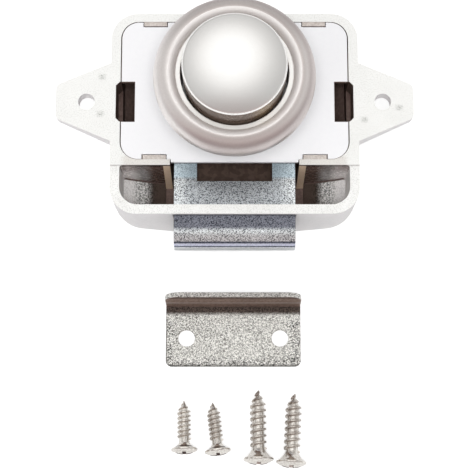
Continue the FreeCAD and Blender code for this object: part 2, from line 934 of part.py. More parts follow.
def plunger():
    """Plunger with its neck in the guide, the wedge foot and the heart groove."""
    foot_top = plate_bottom - size("stop_gap")
    front = -size("foot_front")
    back = size("foot_back")
    slope = size("bolt_travel") / size("knob_travel")
    corner_z = foot_bottom + (wedge_y(foot_bottom) - front) / slope
    foot = prism(
        "plunger_foot", "YZ_Plane",
        [
            (wedge_y(foot_bottom), foot_bottom),
            (back, foot_bottom),
            (back, foot_top),
            (front, foot_top),
            (front, corner_z),
        ],
        -foot_side, foot_side,
    )
    centre = (as_size(0), as_size(0))
    neck = rod("plunger_neck", size("neck_radius"), "z", (foot_top - PAST, neck_top), centre)
    spigot = rod(
        "plunger_spigot", size("spigot_radius"), "z", (neck_top - PAST, spigot_top), centre,
    )
    whole = fuse("plunger_whole", foot, neck, spigot)
    pin_hole = rod(
        "plunger_pin_hole", size("knob_pin_radius") + size("press_gap"), "x",
        (-size("neck_radius"), size("neck_radius")), (as_size(0), knob_pin_z),
    )
    return cut("plunger", whole, pin_hole, heart_groove())


def bolt():
    """Bolt of one folded sheet: face, rounded nose, ramp, leg with lugs, and two wings."""
    radius = size("nose_radius")
    thick = size("bolt_sheet")
    inner = radius - thick
    nose_y = -size("nose_start")
    nose_z = bolt_top - radius
    diagonal = math.sqrt(0.5)
    outer_end = (nose_y - radius * diagonal, nose_z - radius * diagonal)
    inner_end = (nose_y - inner * diagonal, nose_z - inner * diagonal)
    tip_outer = (nose_y - radius, nose_z)
    tip_inner = (nose_y - inner, nose_z)
    outer_foot_y = outer_end[0] + (outer_end[1] - leg_bottom)
    inner_foot_y = inner_end[0] + (inner_end[1] - leg_top)
    window_back = size("foot_back") + size("bolt_travel") + size("window_back_gap")
    rear = window_back + size("bolt_rear_strap")
    leg_end = -size("leg_end")
    corners = [
        (nose_y, bolt_top, radius),
        (*tip_outer, radius),
        outer_end,
        (outer_foot_y, leg_bottom),
        (leg_end, leg_bottom),
        (leg_end, leg_top),
        (inner_foot_y, leg_top),
        (*inner_end, -inner),
        (*tip_inner, -inner),
        (nose_y, bolt_under),
        (rear, bolt_under),
        (rear, bolt_top),
    ]
    folded = prism("bolt_fold", "YZ_Plane", corners, -bolt_side, bolt_side)
    window_side = size("window_half_width")
    window = box(
        "bolt_window", (-window_side, window_side), (-size("window_front"), window_back),
        (bolt_under - PAST / 4, bolt_top + PAST / 4),
    )
    seat = size("wing_seat")
    tab_x = (spring_x - size("tab_half_width"), spring_x + size("tab_half_width"))
    wing = box(
        "bolt_wing", (bolt_side - thick, tab_x[1]), (seat, seat + size("wing_length")),
        (bolt_under, bolt_top),
    )
    tab_z = (spring_z - size("tab_below"), bolt_top)
    tab = box("bolt_tab", tab_x, (seat, seat + thick), tab_z)
    tab_hole = rod(
        "bolt_tab_hole", size("peg_shank_radius") + size("press_gap"), "y",
        (seat - PAST, seat + thick + PAST), (spring_x, spring_z),
    )
    drilled_tab = cut("bolt_tab_drilled", tab, tab_hole)
    lug_x = (lug_inside, lug_outside)
    half = size("lug_half_length")
    lug_z = (leg_top - thick / 2, pin_z + size("lug_above"))
    lug = box("bolt_lug", lug_x, (pin_y - half, pin_y + half), lug_z)
    pin_hole = rod(
        "lug_hole", size("drive_pin_radius") + size("press_gap"), "x", (lug_x[0] - PAST, lug_x[1] + PAST),
        (pin_y, pin_z),
    )
    drilled_lug = cut("bolt_lug_drilled", lug, pin_hole)
    opened = cut("bolt_opened", folded, window)
    pieces = []
    for piece in (wing, drilled_tab, drilled_lug):
        pieces.extend((piece, mirrored(f"{piece.Name}_2", piece)))
    return fuse("bolt", opened, *pieces)


def drive_pin():
    """Pin through the two lugs."""
    half = lug_outside + size("drive_pin_overhang")
    return rod("drive_pin", size("drive_pin_radius"), "x", (-half, half), (pin_y, pin_z))


def drive_roller():
    """Roller on the drive pin, which the wedge pushes."""
    half = foot_side
    sleeve = rod("roller_sleeve", size("roller_radius"), "x", (-half, half), (pin_y, pin_z))
    bore_radius = size("drive_pin_radius") + size("roller_play")
    bore = rod("roller_bore", bore_radius, "x", (-half - PAST, half + PAST), (pin_y, pin_z))
    return cut("drive_roller", sleeve, bore)


def bolt_spring_pegs():
    """Shouldered pegs that centre the return springs on the wings."""
    seat = size("wing_seat")
    place = (spring_x, spring_z)
    peg = rod("peg_body", size("peg_radius"), "y", (seat - size("peg_length"), seat), place)
    shank = rod(
        "peg_shank", size("peg_shank_radius"), "y",
        (seat - size("peg_length") / 2, seat + size("bolt_sheet")), place,
    )
    return pair("bolt_spring_pegs", fuse("peg", peg, shank))


def return_spring(name, side):
    """Return spring between the divider wall and one wing of the bolt."""
    gap = float(size("spring_seat_gap"))
    start = float(divider_high) + gap
    length = float(size("wing_seat")) - gap - start
    shape = coil(
        float(size("return_spring_radius")), float(size("return_wire_radius")),
        int(sheet.get("return_turns")), length,
    )
    seat = Vector(side * float(spring_x), start, float(spring_z))
    return computed(name, shape, Placement(seat, AXIS_TURNS["y"]))


def knob_spring():
    """Spring between the barrel and the knob, round the plunger guide."""
    gap = float(size("spring_seat_gap"))
    start = float(plate_top) + gap
    top = float(knob_seat) - gap
    wire = size("knob_wire_radius")
    radius = guide_radius + wire + size("knob_spring_play")
    shape = coil(float(radius), float(wire), int(sheet.get("knob_turns")), top - start)
    return computed("knob_spring", shape, Placement(Vector(0, 0, start), Rotation()))


def heart_follower():
    """Follower lever: hub on the pivot pin, wire arm and the tip that runs in the groove."""
    half = size("follower_hub_half")
    hub = rod(
        "follower_hub", size("follower_hub_radius"), "x", (follower_x - half, follower_x + half),
        (follower_y, pivot_z),
    )
    wire = size("follower_wire_radius")
    arm = rod("follower_arm", wire, "z", (pivot_z, tip_z + wire), (follower_x, follower_y))
    tip = rod(
        "follower_tip", size("follower_tip_radius"), "x",
        (foot_side - size("groove_depth") + size("tip_clearance"), follower_x),
        (follower_y, tip_z),
    )
    lever = fuse("follower_lever", hub, arm, tip)
    bore = rod(
        "follower_bore", size("follower_pin_radius") + size("roller_play"), "x",
        (follower_x - half - PAST, follower_x + half + PAST), (follower_y, pivot_z),
    )
    return cut("heart_follower", lever, bore)


def cheek_span(side):
    """X from inside to outside of one bracket cheek, on the -X side (-1) or +X side (1)."""
    inner = follower_x + (size("follower_hub_half") + size("cheek_gap")) * side
    outer = inner + size("bracket_sheet") * side
    return (outer, inner) if side < 0 else (inner, outer)


def follower_bracket():
    """Sheet bracket on the case floor with two cheeks for the follower pin."""
    thick = size("bracket_sheet")
    half = size("bracket_half_length")
    near, far = cheek_span(-1), cheek_span(1)
    y = (follower_y - half, follower_y + half)
    foot_y = (follower_y - half, follower_y + half + size("bracket_foot_length"))
    foot = box("bracket_foot", (near[0], far[1]), foot_y, (floor, floor + thick))
    cheek_z = (floor, floor + size("cheek_height"))
    cheeks = [
        box("bracket_cheek_near", near, y, cheek_z),
        box("bracket_cheek_far", far, y, cheek_z),
    ]
    whole = fuse("bracket_whole", foot, *cheeks)
    pin_hole = rod(
        "bracket_pin_hole", size("follower_pin_radius") + size("press_gap"), "x",
        (near[0] - PAST, far[1] + PAST), (follower_y, pivot_z),
    )
    hole = rod(
        "bracket_rivet_hole", size("rivet_radius") + size("press_gap"), "z",
        (floor - PAST, floor + thick + PAST), (follower_x, rivet_y()),
    )
    return cut("follower_bracket", whole, pin_hole, hole)


def rivet_y():
    """Y of the rivet that holds the bracket down."""
    return follower_y + size("bracket_half_length") + size("bracket_foot_length") / 2


def bracket_rivet():
    """Rivet head and shank in the foot of the bracket."""
    place = (follower_x, rivet_y())
    top = floor + size("bracket_sheet")
    shank = rod("bracket_rivet_shank", size("rivet_radius"), "z", (floor, top), place)
    head_z = (top, top + size("rivet_head_thick"))
    head = rod("bracket_rivet_head", size("rivet_head_radius"), "z", head_z, place)
    return fuse("bracket_rivet", shank, head)


def follower_pin():
    """Pivot pin of the follower through both cheeks."""
    near, far = cheek_span(-1), cheek_span(1)
    return rod(
        "follower_pin", size("follower_pin_radius"), "x", (near[0], far[1]), (follower_y, pivot_z),
    )


def follower_leaf_spring():
    """Leaf on the outer cheek whose free end leans towards the follower arm."""
    thick = size("leaf_thick")
    outside = cheek_span(1)[1]
    swept = size("follower_wire_radius") + size("leaf_gap")
    tip_x = follower_x + swept
    top = floor + size("leaf_rise")
    cheek_top = floor + size("cheek_height")
    half = size("leaf_half_width")
    middle = follower_y + size("follower_swing") / 2
    return prism(
        "follower_leaf_spring", "XZ_Plane",
        [
            (outside, floor + size("bracket_sheet")),
            (outside + thick, floor + size("bracket_sheet")),
            (outside + thick, cheek_top),
            (tip_x + thick, top),
            (tip_x, top),
            (outside, cheek_top),
        ],
        middle - half, middle + half,
    )


def strike_plate():
    """Angle of sheet with two screw holes and a flange that the bolt hooks behind."""
    middle = size("strike_middle")
    half = size("strike_half_width")
    top = -size("strike_top")
    low = top - size("strike_length")
    thick = size("strike_sheet")
    corner = size("strike_corner")
    base_z = (rest_plane, rest_plane + thick)
    small = corner / 5
    base = rounded_block(
        "strike_base", (middle - half, middle + half), (low, top), base_z,
        (corner, corner, small, small),
    )
    rise = size("strike_flange")
    cut_off = size("strike_flange_corner")
    flange = prism(
        "strike_flange_plate", "XZ_Plane",
        [
            (middle - half, rest_plane),
            (middle + half, rest_plane),
            (middle + half, rest_plane + rise - cut_off, cut_off),
            (middle + half - cut_off, rest_plane + rise),
            (middle - half + cut_off, rest_plane + rise, cut_off),
            (middle - half, rest_plane + rise - cut_off),
        ],
        top - thick, top,
    )
    leaning = doc.addObject("Part::Feature", "strike_flange_leaning")
    doc.recompute()
    lean = flange.Shape.copy()
    hinge = Vector(0, float(top - thick), float(rest_plane))
    lean.rotate(hinge, Vector(1, 0, 0), -float(size("strike_lean")))
    leaning.Shape = lean
    above_table = box(
        "strike_above_table", (middle - half - PAST, middle + half + PAST),
        (low - PAST, top + rise), (rest_plane, rest_plane + 2 * rise),
    )
    flange_trimmed = common("strike_flange_trimmed", leaning, above_table)
    whole = fuse("strike_whole", base, flange_trimmed)
    hole_half = size("strike_hole_spacing") / 2
    holes = []
    for number, side in enumerate((-1, 1)):
        holes.append(rod(
            f"strike_hole_{number}", size("strike_hole_radius"), "z",
            (rest_plane - PAST, rest_plane + thick + PAST),
            (middle + hole_half * side, top - size("strike_hole_inset")),
        ))
    return cut("strike_plate", whole, *holes)


def screw_shape(length, head_radius, thread_radius, turns):
    """Wood screw along +Z from its head at z = 0: raised head, ringed thread and point."""
    head_height = float(size("screw_head_height"))
    core = thread_radius * float(size("screw_core"))
    under = head_height + head_radius - core
    thread_end = length - 2.5 * thread_radius
    thread_start = under + thread_radius
    pitch = (length - thread_start) / turns
    outline = [(0.0, 0.0), (head_radius * 0.6, 0.12 * head_height), (head_radius, head_height)]
    outline.extend([(core, under), (core, thread_start)])
    for turn in range(turns):
        crest_at = thread_start + pitch * (turn + 0.5)
        taper = min(1.0, (length - crest_at) / (length - thread_end))
        root_at = thread_start + pitch * (turn + 1)
        root_taper = min(1.0, (length - root_at) / (length - thread_end))
        outline.append((core * max(taper, 0.15), crest_at - pitch * 0.25))
        outline.append((thread_radius * taper, crest_at))
        outline.append((core * root_taper, root_at))
    points = [Vector(radius, 0, place) for radius, place in outline]
    points[-1] = Vector(0, 0, length)
    profile = Part.Face(Part.makePolygon(points + [points[0]]))
    body = profile.revolve(Vector(), Vector(0, 0, 1), 360)
    arm = head_radius * 0.55
    width = head_radius * 0.11
    depth = head_height * 1.6
    cross = [
        Part.makeBox(2 * arm, 2 * width, 2 * depth, Vector(-arm, -width, -depth)),
        Part.makeBox(2 * width, 2 * arm, 2 * depth, Vector(-width, -arm, -depth)),
    ]
    return body.cut(cross)


def lying_screws(name, kind):
    """Screws lying on the table, each from its head end towards its point."""
    length = float(size(f"{kind}_length"))
    head = float(size(f"{kind}_head"))
    thread = float(size(f"{kind}_thread"))
    shapes = []
    tilt = math.degrees(math.asin((head - thread) / (length * 0.75)))
    for side in ("left", "right"):
        x = float(size(f"{kind}_{side}_x"))
        head_y = float(size(f"{kind}_{side}_y"))
        heading = float(size(f"{kind}_{side}_turn"))
        shape = screw_shape(length, head, thread, int(sheet.get(f"{kind}_turns")))
        lay = Rotation(Vector(1, 0, 0), -90 - tilt)
        turn = Rotation(Vector(0, 0, 1), heading)
        shape.Placement = Placement(Vector(), turn.multiply(lay))
        lift = float(rest_plane) - shape.optimalBoundingBox(False).ZMin
        shape.Placement = Placement(Vector(x, head_y, lift), turn.multiply(lay))
        shapes.append(shape)
    return computed(name, Part.Compound(shapes))


SUB_PARTS = [
    latch_case(),
    cover_plate(),
    door_barrel(),
    knob_cap(),
    plunger(),
    knob_pin(),
    knob_spring(),
    bolt(),
    drive_pin(),
    drive_roller(),
    bolt_spring_pegs(),
    return_spring("return_spring_left", -1),
    return_spring("return_spring_right", 1),
    heart_follower(),
    follower_bracket(),
    follower_pin(),
    bracket_rivet(),
    follower_leaf_spring(),
    rosette(),
    rosette_tube(),
    rosette_grip_ring(),
    strike_plate(),
    lying_screws("strike_screws", "strike_screw"),
    lying_screws("ear_screws", "ear_screw"),
]
doc.recompute()

for item in doc.Objects:
    if "Invalid" in item.State or "Error" in item.State:
        raise RuntimeError(f"{item.Name} is {item.State}")

os.makedirs("parts", exist_ok=True)
for item in SUB_PARTS:
    item.Label = item.Name
    if item.Shape.isNull() or not item.Shape.isValid():
        raise RuntimeError(f"{item.Label} has no valid shape")
    count = len(item.Shape.Solids)
    print(f"{item.Label}: {count} solid(s), volume {item.Shape.Volume:.1f}")
    item.Shape.exportStep(f"parts/{item.Label}.step")
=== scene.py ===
"""Cabinet latch, laid out with its strike plate and screws on a white table.

The frame gives every piece its place. This script gives the pieces their softened edges, their
threads and recesses, their plated finishes, and the light, table and camera of the photograph.
Lengths are in millimetres unless a name or comment says otherwise.
"""

import json
import logging
import math
from dataclasses import dataclass, field
from enum import Enum
from typing import Callable, Mapping, Sequence

import bpy
from mathutils import Matrix, Vector

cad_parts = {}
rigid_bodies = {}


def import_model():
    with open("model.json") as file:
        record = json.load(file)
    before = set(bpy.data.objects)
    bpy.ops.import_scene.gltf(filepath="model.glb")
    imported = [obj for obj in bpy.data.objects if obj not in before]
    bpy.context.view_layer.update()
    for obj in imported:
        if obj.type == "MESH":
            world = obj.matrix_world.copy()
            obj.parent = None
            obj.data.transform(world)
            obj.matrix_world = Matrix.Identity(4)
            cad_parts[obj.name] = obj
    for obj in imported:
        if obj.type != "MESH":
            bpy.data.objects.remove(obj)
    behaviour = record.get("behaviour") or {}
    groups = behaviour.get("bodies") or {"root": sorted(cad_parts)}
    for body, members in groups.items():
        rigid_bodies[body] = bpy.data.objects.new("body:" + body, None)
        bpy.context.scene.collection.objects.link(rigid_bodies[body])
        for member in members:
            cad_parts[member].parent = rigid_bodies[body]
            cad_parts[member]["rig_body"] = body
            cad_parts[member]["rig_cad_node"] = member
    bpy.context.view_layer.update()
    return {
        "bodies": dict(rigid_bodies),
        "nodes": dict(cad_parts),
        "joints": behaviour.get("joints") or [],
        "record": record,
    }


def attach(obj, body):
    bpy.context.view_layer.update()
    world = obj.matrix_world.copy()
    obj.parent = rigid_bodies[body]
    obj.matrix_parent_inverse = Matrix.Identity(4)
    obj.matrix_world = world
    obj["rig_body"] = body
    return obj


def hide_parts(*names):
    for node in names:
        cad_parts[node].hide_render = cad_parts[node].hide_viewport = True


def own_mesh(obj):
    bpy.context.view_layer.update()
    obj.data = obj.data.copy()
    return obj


LOG = logging.getLogger("latch")
MM = 0.001
Pair = tuple[float, float]
Triple = tuple[float, float, float]
Profile = Sequence[Pair]
FaceTest = Callable[[Vector, Vector], bool]
Piece = bpy.types.Object
Materials = dict[str, bpy.types.Material]
Tree = bpy.types.NodeTree
Node = bpy.types.Node
Socket = bpy.types.NodeSocket
Sockets = Mapping[str, Socket]
WHITE: Triple = (1.0, 1.0, 1.0)
OPEN = math.inf
SHARP = 30.0  # Edges that turn by more degrees than this are rounded.
STEEP = 0.5  # Largest share of a wall's normal that points up or down.
LEAN = 0.1  # Share of a normal that points down where a face hangs over.
FACING = 0.3  # Least share of a normal that points the way a face looks.
PIT_DEPTH = 0.5  # Height of the sand's pits against its fine grain.
CLUMP_SCALE = 0.6  # Scale of the clumps of zinc crystals against that of the crystals.
CLUMP_SHARE = 0.4  # Share of the clumps in the tone.


class Grain(Enum):
    """How the surface of a piece is broken up."""

    SAND = "fine sandy grain"
    SPANGLE = "zinc crystals"


class Axis(Enum):
    """Coordinate that a span measures, by the name of its field in a zone.

    The side is the distance from the middle plane, the radius that from the knob axis.
    """

    X = "x"
    SIDE = "side"
    Y = "y"
    Z = "z"
    RADIUS = "radius"


class Blend(Enum):
    """How a zone of colour goes onto the colour under it."""

    COVER = "MIX"
    SHADE = "MULTIPLY"


def opaque(colour: Triple) -> tuple[float, float, float, float]:
    """A colour with full alpha."""
    return (*colour, 1.0)


def feed(tree: Tree, socket: Socket, source: object) -> None:
    """Link an input to another socket, or set it to a plain value or colour."""
    if isinstance(source, bpy.types.NodeSocket):
        tree.links.new(source, socket)
    else:
        socket.default_value = opaque(source) if socket.type == "RGBA" else source


def wire(tree: Tree, node: Node, **sources: object) -> None:
    """Feed inputs of a node by their names, with _ for a space."""
    for label, source in sources.items():
        feed(tree, node.inputs[label.replace("_", " ")], source)


def add_node(tree: Tree, kind: str, *sources: object, **settings: object) -> Node:
    """Add a shader node, set it up and feed its inputs.

    Args:
        tree: Node tree that gets the node.
        kind: Type name of the node, without ShaderNode.
        *sources: Sockets or values for the first inputs, in order.
        **settings: Properties of the node, or sockets or values for inputs by name.

    Returns:
        The new node.
    """
    node = tree.nodes.new(f"ShaderNode{kind}")
    for label, value in settings.items():
        if hasattr(node, label):
            setattr(node, label, value)
        else:
            wire(tree, node, **{label: value})
    for socket, source in zip(node.inputs, sources):
        feed(tree, socket, source)
    return node


def calculate(tree: Tree, operation: str, *terms: object) -> Socket:
    """Add a math node and give its value."""
    return add_node(tree, "Math", *terms, operation=operation).outputs["Value"]


def mix(tree: Tree, share: object, under: object, over: object, kind: str = "RGBA",
        blend: Blend = Blend.COVER) -> Socket:
    """Mix two colours, or two numbers if the kind is FLOAT, by the share of the upper one."""
    return add_node(tree, "Mix", data_type=kind, blend_type=blend.value, Factor=share, A=under,
                    B=over).outputs["Result"]


def ramp_up(tree: Tree, value: Socket, low: float, high: float, soft: bool = False) -> Socket:
    """Spread the part of a value between two limits over 0 to 1, evenly or with soft ends."""
    course = "SMOOTHSTEP" if soft else "LINEAR"
    return add_node(tree, "MapRange", interpolation_type=course, Value=value, From_Min=low,
                    From_Max=high).outputs["Result"]


def new_group(name: str, **inputs: object) -> tuple[Tree, Sockets]:
    """Start a shader node group.

    Args:
        name: Name of the group.
        **inputs: First value of each input; a tuple makes it a vector.

    Returns:
        The group, and the sockets at which its inputs come in.
    """
    group = bpy.data.node_groups.new(name, "ShaderNodeTree")
    for label, value in inputs.items():
        kind = "NodeSocketVector" if isinstance(value, tuple) else "NodeSocketFloat"
        socket = group.interface.new_socket(name=label, in_out="INPUT", socket_type=kind)
        socket.default_value = value
    return group, group.nodes.new("NodeGroupInput").outputs


def end_group(group: Tree, **results: Socket) -> Tree:
    """Give a node group its outputs, each the number of a socket, and return the group."""
    for label in results:
        group.interface.new_socket(name=label, in_out="OUTPUT", socket_type="NodeSocketFloat")
    wire(group, group.nodes.new("NodeGroupOutput"), **results)
    return group


def make_sand_group() -> Tree:
    """Group for the fine sandy grain of a casting or a coating, Size in grains per metre."""
    group, given = new_group("sandy grain", Vector=(0.0, 0.0, 0.0), Size=2500.0)
    where = {"Vector": given["Vector"], "Scale": given["Size"]}
    fine = add_node(group, "TexNoise", Detail=3.0, Roughness=0.7, **where).outputs["Fac"]
    pits = add_node(group, "TexVoronoi", **where).outputs["Distance"]
    relief = calculate(group, "MULTIPLY_ADD", pits, PIT_DEPTH, fine)
    return end_group(group, Tone=fine, Height=relief)


def make_spangle_group() -> Tree:
    """Group for zinc crystals: small cells each of their own tone, Size in cells per metre."""
    group, given = new_group("zinc crystals", Vector=(0.0, 0.0, 0.0), Size=3500.0)
    place, size = given["Vector"], given["Size"]
    cells = add_node(group, "TexVoronoi", Vector=place, Scale=size).outputs["Color"]
    split = add_node(group, "SeparateColor", cells)
    clumps = add_node(group, "TexNoise", Vector=place, Detail=2.0, Roughness=0.6,
                      Scale=calculate(group, "MULTIPLY", size, CLUMP_SCALE))
    tone = mix(group, CLUMP_SHARE, split.outputs["Red"], clumps.outputs["Fac"], kind="FLOAT")
    return end_group(group, Tone=tone, Height=tone)


def make_places_group() -> Tree:
    """Group for the distances that zones are measured along, an output for each axis."""
    group, given = new_group("places", Vector=(0.0, 0.0, 0.0))
    parts = add_node(group, "SeparateXYZ", given["Vector"]).outputs
    flat = add_node(group, "VectorMath", given["Vector"], (1.0, 1.0, 0.0), operation="MULTIPLY")
    reach = add_node(group, "VectorMath", flat.outputs["Vector"], operation="LENGTH")
    return end_group(
        group, X=parts["X"], SIDE=calculate(group, "ABSOLUTE", parts["X"]), Y=parts["Y"],
        Z=parts["Z"], RADIUS=reach.outputs["Value"],
    )


def make_span_group() -> Tree:
    """Group for a mask that is 1 between two values, with soft ends."""
    group, given = new_group("span", Value=0.0, Low=0.0, High=0.0, Soft=0.0)
    ends = []
    for upper, lower in (("Value", "Low"), ("High", "Value")):
        gap = calculate(group, "SUBTRACT", given[upper], given[lower])
        share = calculate(group, "DIVIDE", gap, given["Soft"])
        ends.append(ramp_up(group, share, -1.0, 1.0, soft=True))
    return end_group(group, Mask=calculate(group, "MULTIPLY", *ends))


@dataclass
class Groups:
    """The shared node groups, built once."""

    sand: Tree = field(default_factory=make_sand_group)
    spangle: Tree = field(default_factory=make_spangle_group)
    places: Tree = field(default_factory=make_places_group)
    span: Tree = field(default_factory=make_span_group)


@dataclass(frozen=True)
class Zone:
    """Place on a surface, where all its spans hold, with a colour of its own: most zones are
    painted shade, highlight and reflection, a few are marks of the thing itself.

    A span has a low end, a high end and the width over which it fades. A zone of specks shows
    on the dark grains alone.
    """

    colour: Triple
    x: Triple | None = None
    side: Triple | None = None
    y: Triple | None = None
    z: Triple | None = None
    radius: Triple | None = None
    blend: Blend = Blend.SHADE
    specks: bool = False
    share: float = 1.0

    def paint(self, tree: Tree, groups: Groups, places: Sockets, fine: Socket,
              surface: Socket) -> Socket:
        """Put the zone onto the colour so far; the fine grain is 0 where it is dark."""
        masks = [calculate(tree, "SUBTRACT", 1.0, fine)] if self.specks else []
        for axis in Axis:
            span = getattr(self, axis.value)
            if span is not None:
                low, high, soft = (end * MM for end in span)
                masks.append(add_node(
                    tree, "Group", node_tree=groups.span, Value=places[axis.name], Low=low,
                    High=high, Soft=soft,
                ).outputs["Mask"])
        share = self.share
        for mask in masks:
            share = calculate(tree, "MULTIPLY", share, mask)
        return mix(tree, share, surface, self.colour, blend=self.blend)


@dataclass(frozen=True)
class Finish:
    """A plated, cast or coated surface, worked out on Object coordinates.

    Its name with _ for a space is the slot that wears it. Grains and clouds are counted per
    metre.
    """

    name: str
    light: Triple
    dark: Triple
    metallic: float = 1.0
    roughness: Pair = (0.25, 0.4)
    grain: Grain = Grain.SAND
    grains: float = 2500.0
    contrast: Pair = (0.4, 0.6)
    clouds: float = 120.0
    cloud_contrast: Pair = (0.35, 0.65)
    cloud_share: float = 0.3
    bump: float = 0.1
    bump_depth: float = 0.02
    zones: tuple[Zone, ...] = ()

    def build(self, groups: Groups) -> bpy.types.Material:
        """Make the material."""
        material = bpy.data.materials.new(self.name)
        material.use_nodes = True
        tree = material.node_tree
        place = add_node(tree, "TexCoord").outputs["Object"]
        places = add_node(tree, "Group", node_tree=groups.places, Vector=place).outputs
        kind = groups.spangle if self.grain is Grain.SPANGLE else groups.sand
        grain = add_node(tree, "Group", node_tree=kind, Vector=place, Size=self.grains).outputs
        clouds = add_node(tree, "TexNoise", Vector=place, Scale=self.clouds, Detail=2.0)
        fine = ramp_up(tree, grain["Tone"], *self.contrast)
        cloudy = ramp_up(tree, clouds.outputs["Fac"], *self.cloud_contrast)
        tone = mix(tree, self.cloud_share, fine, cloudy, kind="FLOAT")
        surface = mix(tree, tone, self.dark, self.light)
        for zone in self.zones:
            surface = zone.paint(tree, groups, places, fine, surface)
        smoothest, roughest = self.roughness
        rough = add_node(tree, "MapRange", Value=tone, To_Min=roughest, To_Max=smoothest)
        relief = add_node(tree, "Bump", Strength=self.bump, Distance=self.bump_depth * MM,
                          Height=grain["Height"])
        wire(tree, tree.nodes["Principled BSDF"], Base_Color=surface, Metallic=self.metallic,
             Roughness=rough.outputs["Result"], Normal=relief.outputs["Normal"])
        return material


def deselect() -> None:
    """Leave edit mode and deselect every object."""
    if bpy.context.object and bpy.context.object.mode != "OBJECT":
        bpy.ops.object.mode_set(mode="OBJECT")
    bpy.ops.object.select_all(action="DESELECT")


def activate(piece: Piece) -> None:
    """Select one object alone and make it active."""
    deselect()
    piece.select_set(True)
    bpy.context.view_layer.objects.active = piece


def edit_all(piece: Piece) -> None:
    """Enter edit mode with the whole of a piece selected."""
    activate(piece)
    bpy.ops.object.mode_set(mode="EDIT")
    bpy.ops.mesh.select_all(action="SELECT")


def shade_smooth(piece: Piece, angle: float) -> None:
    """Shade a piece smooth across edges of less than some degrees."""
    activate(piece)
    bpy.ops.object.shade_smooth_by_angle(angle=math.radians(angle))


def apply_modifiers(piece: Piece) -> None:
    """Apply every modifier of a piece in order."""
    activate(piece)
    for modifier in list(piece.modifiers):
        bpy.ops.object.modifier_apply(modifier=modifier.name)


def select_points(piece: Piece, test: Callable[[Vector], bool]) -> None:
    """Enter edit mode with only those points selected whose place in millimetres passes a test."""
    edit_all(piece)
    bpy.ops.mesh.select_mode(type="VERT")
    bpy.ops.mesh.select_all(action="DESELECT")
    bpy.ops.object.mode_set(mode="OBJECT")
    for vertex in piece.data.vertices:
        vertex.select = test(vertex.co / MM)
    bpy.ops.object.mode_set(mode="EDIT")


def close_and_turn_out(piece: Piece) -> None:
    """Merge doubles, close open ends and turn all faces outwards."""
    edit_all(piece)
    bpy.ops.mesh.remove_doubles(threshold=0.0005 * MM)
    bpy.ops.mesh.select_all(action="DESELECT")
    bpy.ops.mesh.select_mode(type="EDGE")
    bpy.ops.mesh.select_non_manifold(
        extend=False, use_wire=False, use_boundary=True, use_multi_face=False,
        use_non_contiguous=False, use_verts=False,
    )
    bpy.ops.mesh.fill_holes(sides=0)
    bpy.ops.mesh.select_mode(type="VERT")
    bpy.ops.mesh.select_all(action="SELECT")
    bpy.ops.mesh.normals_make_consistent(inside=False)
    bpy.ops.object.mode_set(mode="OBJECT")


def node_copy(frame: dict, node: str) -> Piece:
    """Copy a frame node as a free object with its loose triangles merged into plain faces.

    Args:
        node: Name of the frame node.

    Returns:
        The new piece, named after the node.
    """
    source = frame["nodes"][node]
    piece = source.copy()
    piece.data = source.data.copy()
    piece.name = piece.data.name = f"{node}_finished"
    piece.parent = None
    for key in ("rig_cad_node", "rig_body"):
        if key in piece:
            del piece[key]
    bpy.context.scene.collection.objects.link(piece)
    piece.data.materials.clear()
    edit_all(piece)
    bpy.ops.mesh.remove_doubles(threshold=0.001 * MM)
    bpy.ops.mesh.dissolve_limited(angle_limit=math.radians(0.4))
    bpy.ops.object.mode_set(mode="OBJECT")
    return piece


def round_edges(piece: Piece, width: float) -> None:
    """Round the sharp edges of a piece to a width and shade it with flat faces kept flat."""
    bevel = piece.modifiers.new("edge round", "BEVEL")
    bevel.width = width * MM
    bevel.segments = 2
    bevel.limit_method = "ANGLE"
    bevel.angle_limit = math.radians(SHARP)
    apply_modifiers(piece)
    shade_smooth(piece, SHARP)
    weighted = piece.modifiers.new("flat faces", "WEIGHTED_NORMAL")
    weighted.keep_sharp = True
    apply_modifiers(piece)


def turned_piece(name: str, profile: Profile, segments: int) -> Piece:
    """Turn a closed half profile round the Z axis, ring by ring.

    Args:
        name: Name of the piece.
        profile: Points (radius, height) in millimetres; the last joins the first.
        segments: Corners of each ring.

    Returns:
        The closed turned piece.
    """
    deselect()
    radius, height = profile[0]
    bpy.ops.mesh.primitive_circle_add(
        vertices=segments, radius=radius * MM, location=(0, 0, height * MM),
    )
    piece = bpy.context.object
    piece.name = piece.data.name = name
    bpy.ops.object.transform_apply(location=True)
    edit_all(piece)
    for next_radius, next_height in [*profile[1:], profile[0]]:
        bpy.ops.mesh.extrude_region_move(
            TRANSFORM_OT_translate={"value": (0, 0, (next_height - height) * MM)},
        )
        share = next_radius / radius
        bpy.ops.transform.resize(value=(share, share, 1), center_override=(0, 0, next_height * MM))
        radius, height = next_radius, next_height
    close_and_turn_out(piece)
    return piece


def arc(start: Pair, end: Pair, radius: float, steps: int) -> list[Pair]:
    """Points of an arc that bulges to the right of the way from start to end, both ends included.

    Args:
        start: First point (radius, height).
        end: Last point.
        radius: Radius of the arc.
        steps: Straight pieces that stand for the arc.

    Returns:
        The points in order.
    """
    first, last = Vector(start), Vector(end)
    chord = last - first
    inwards = Vector((-chord.y, chord.x)).normalized()
    half = chord.length / 2
    centre = (first + last) / 2 + inwards * math.sqrt(max(radius ** 2 - half ** 2, 0))
    begin = first - centre
    sweep = 2 * math.asin(min(half / radius, 1.0))
    points = []
    for step in range(steps + 1):
        angle = sweep * step / steps
        turned = Matrix.Rotation(angle, 2) @ begin
        points.append(tuple(centre + turned))
    return points


def cut_away(piece: Piece, tool: Piece) -> None:
    """Cut a tool out of a piece and delete the tool."""
    boolean = piece.modifiers.new("cut", "BOOLEAN")
    boolean.operation = "DIFFERENCE"
    boolean.solver = "EXACT"
    boolean.object = tool
    apply_modifiers(piece)
    bpy.data.objects.remove(tool, do_unlink=True)


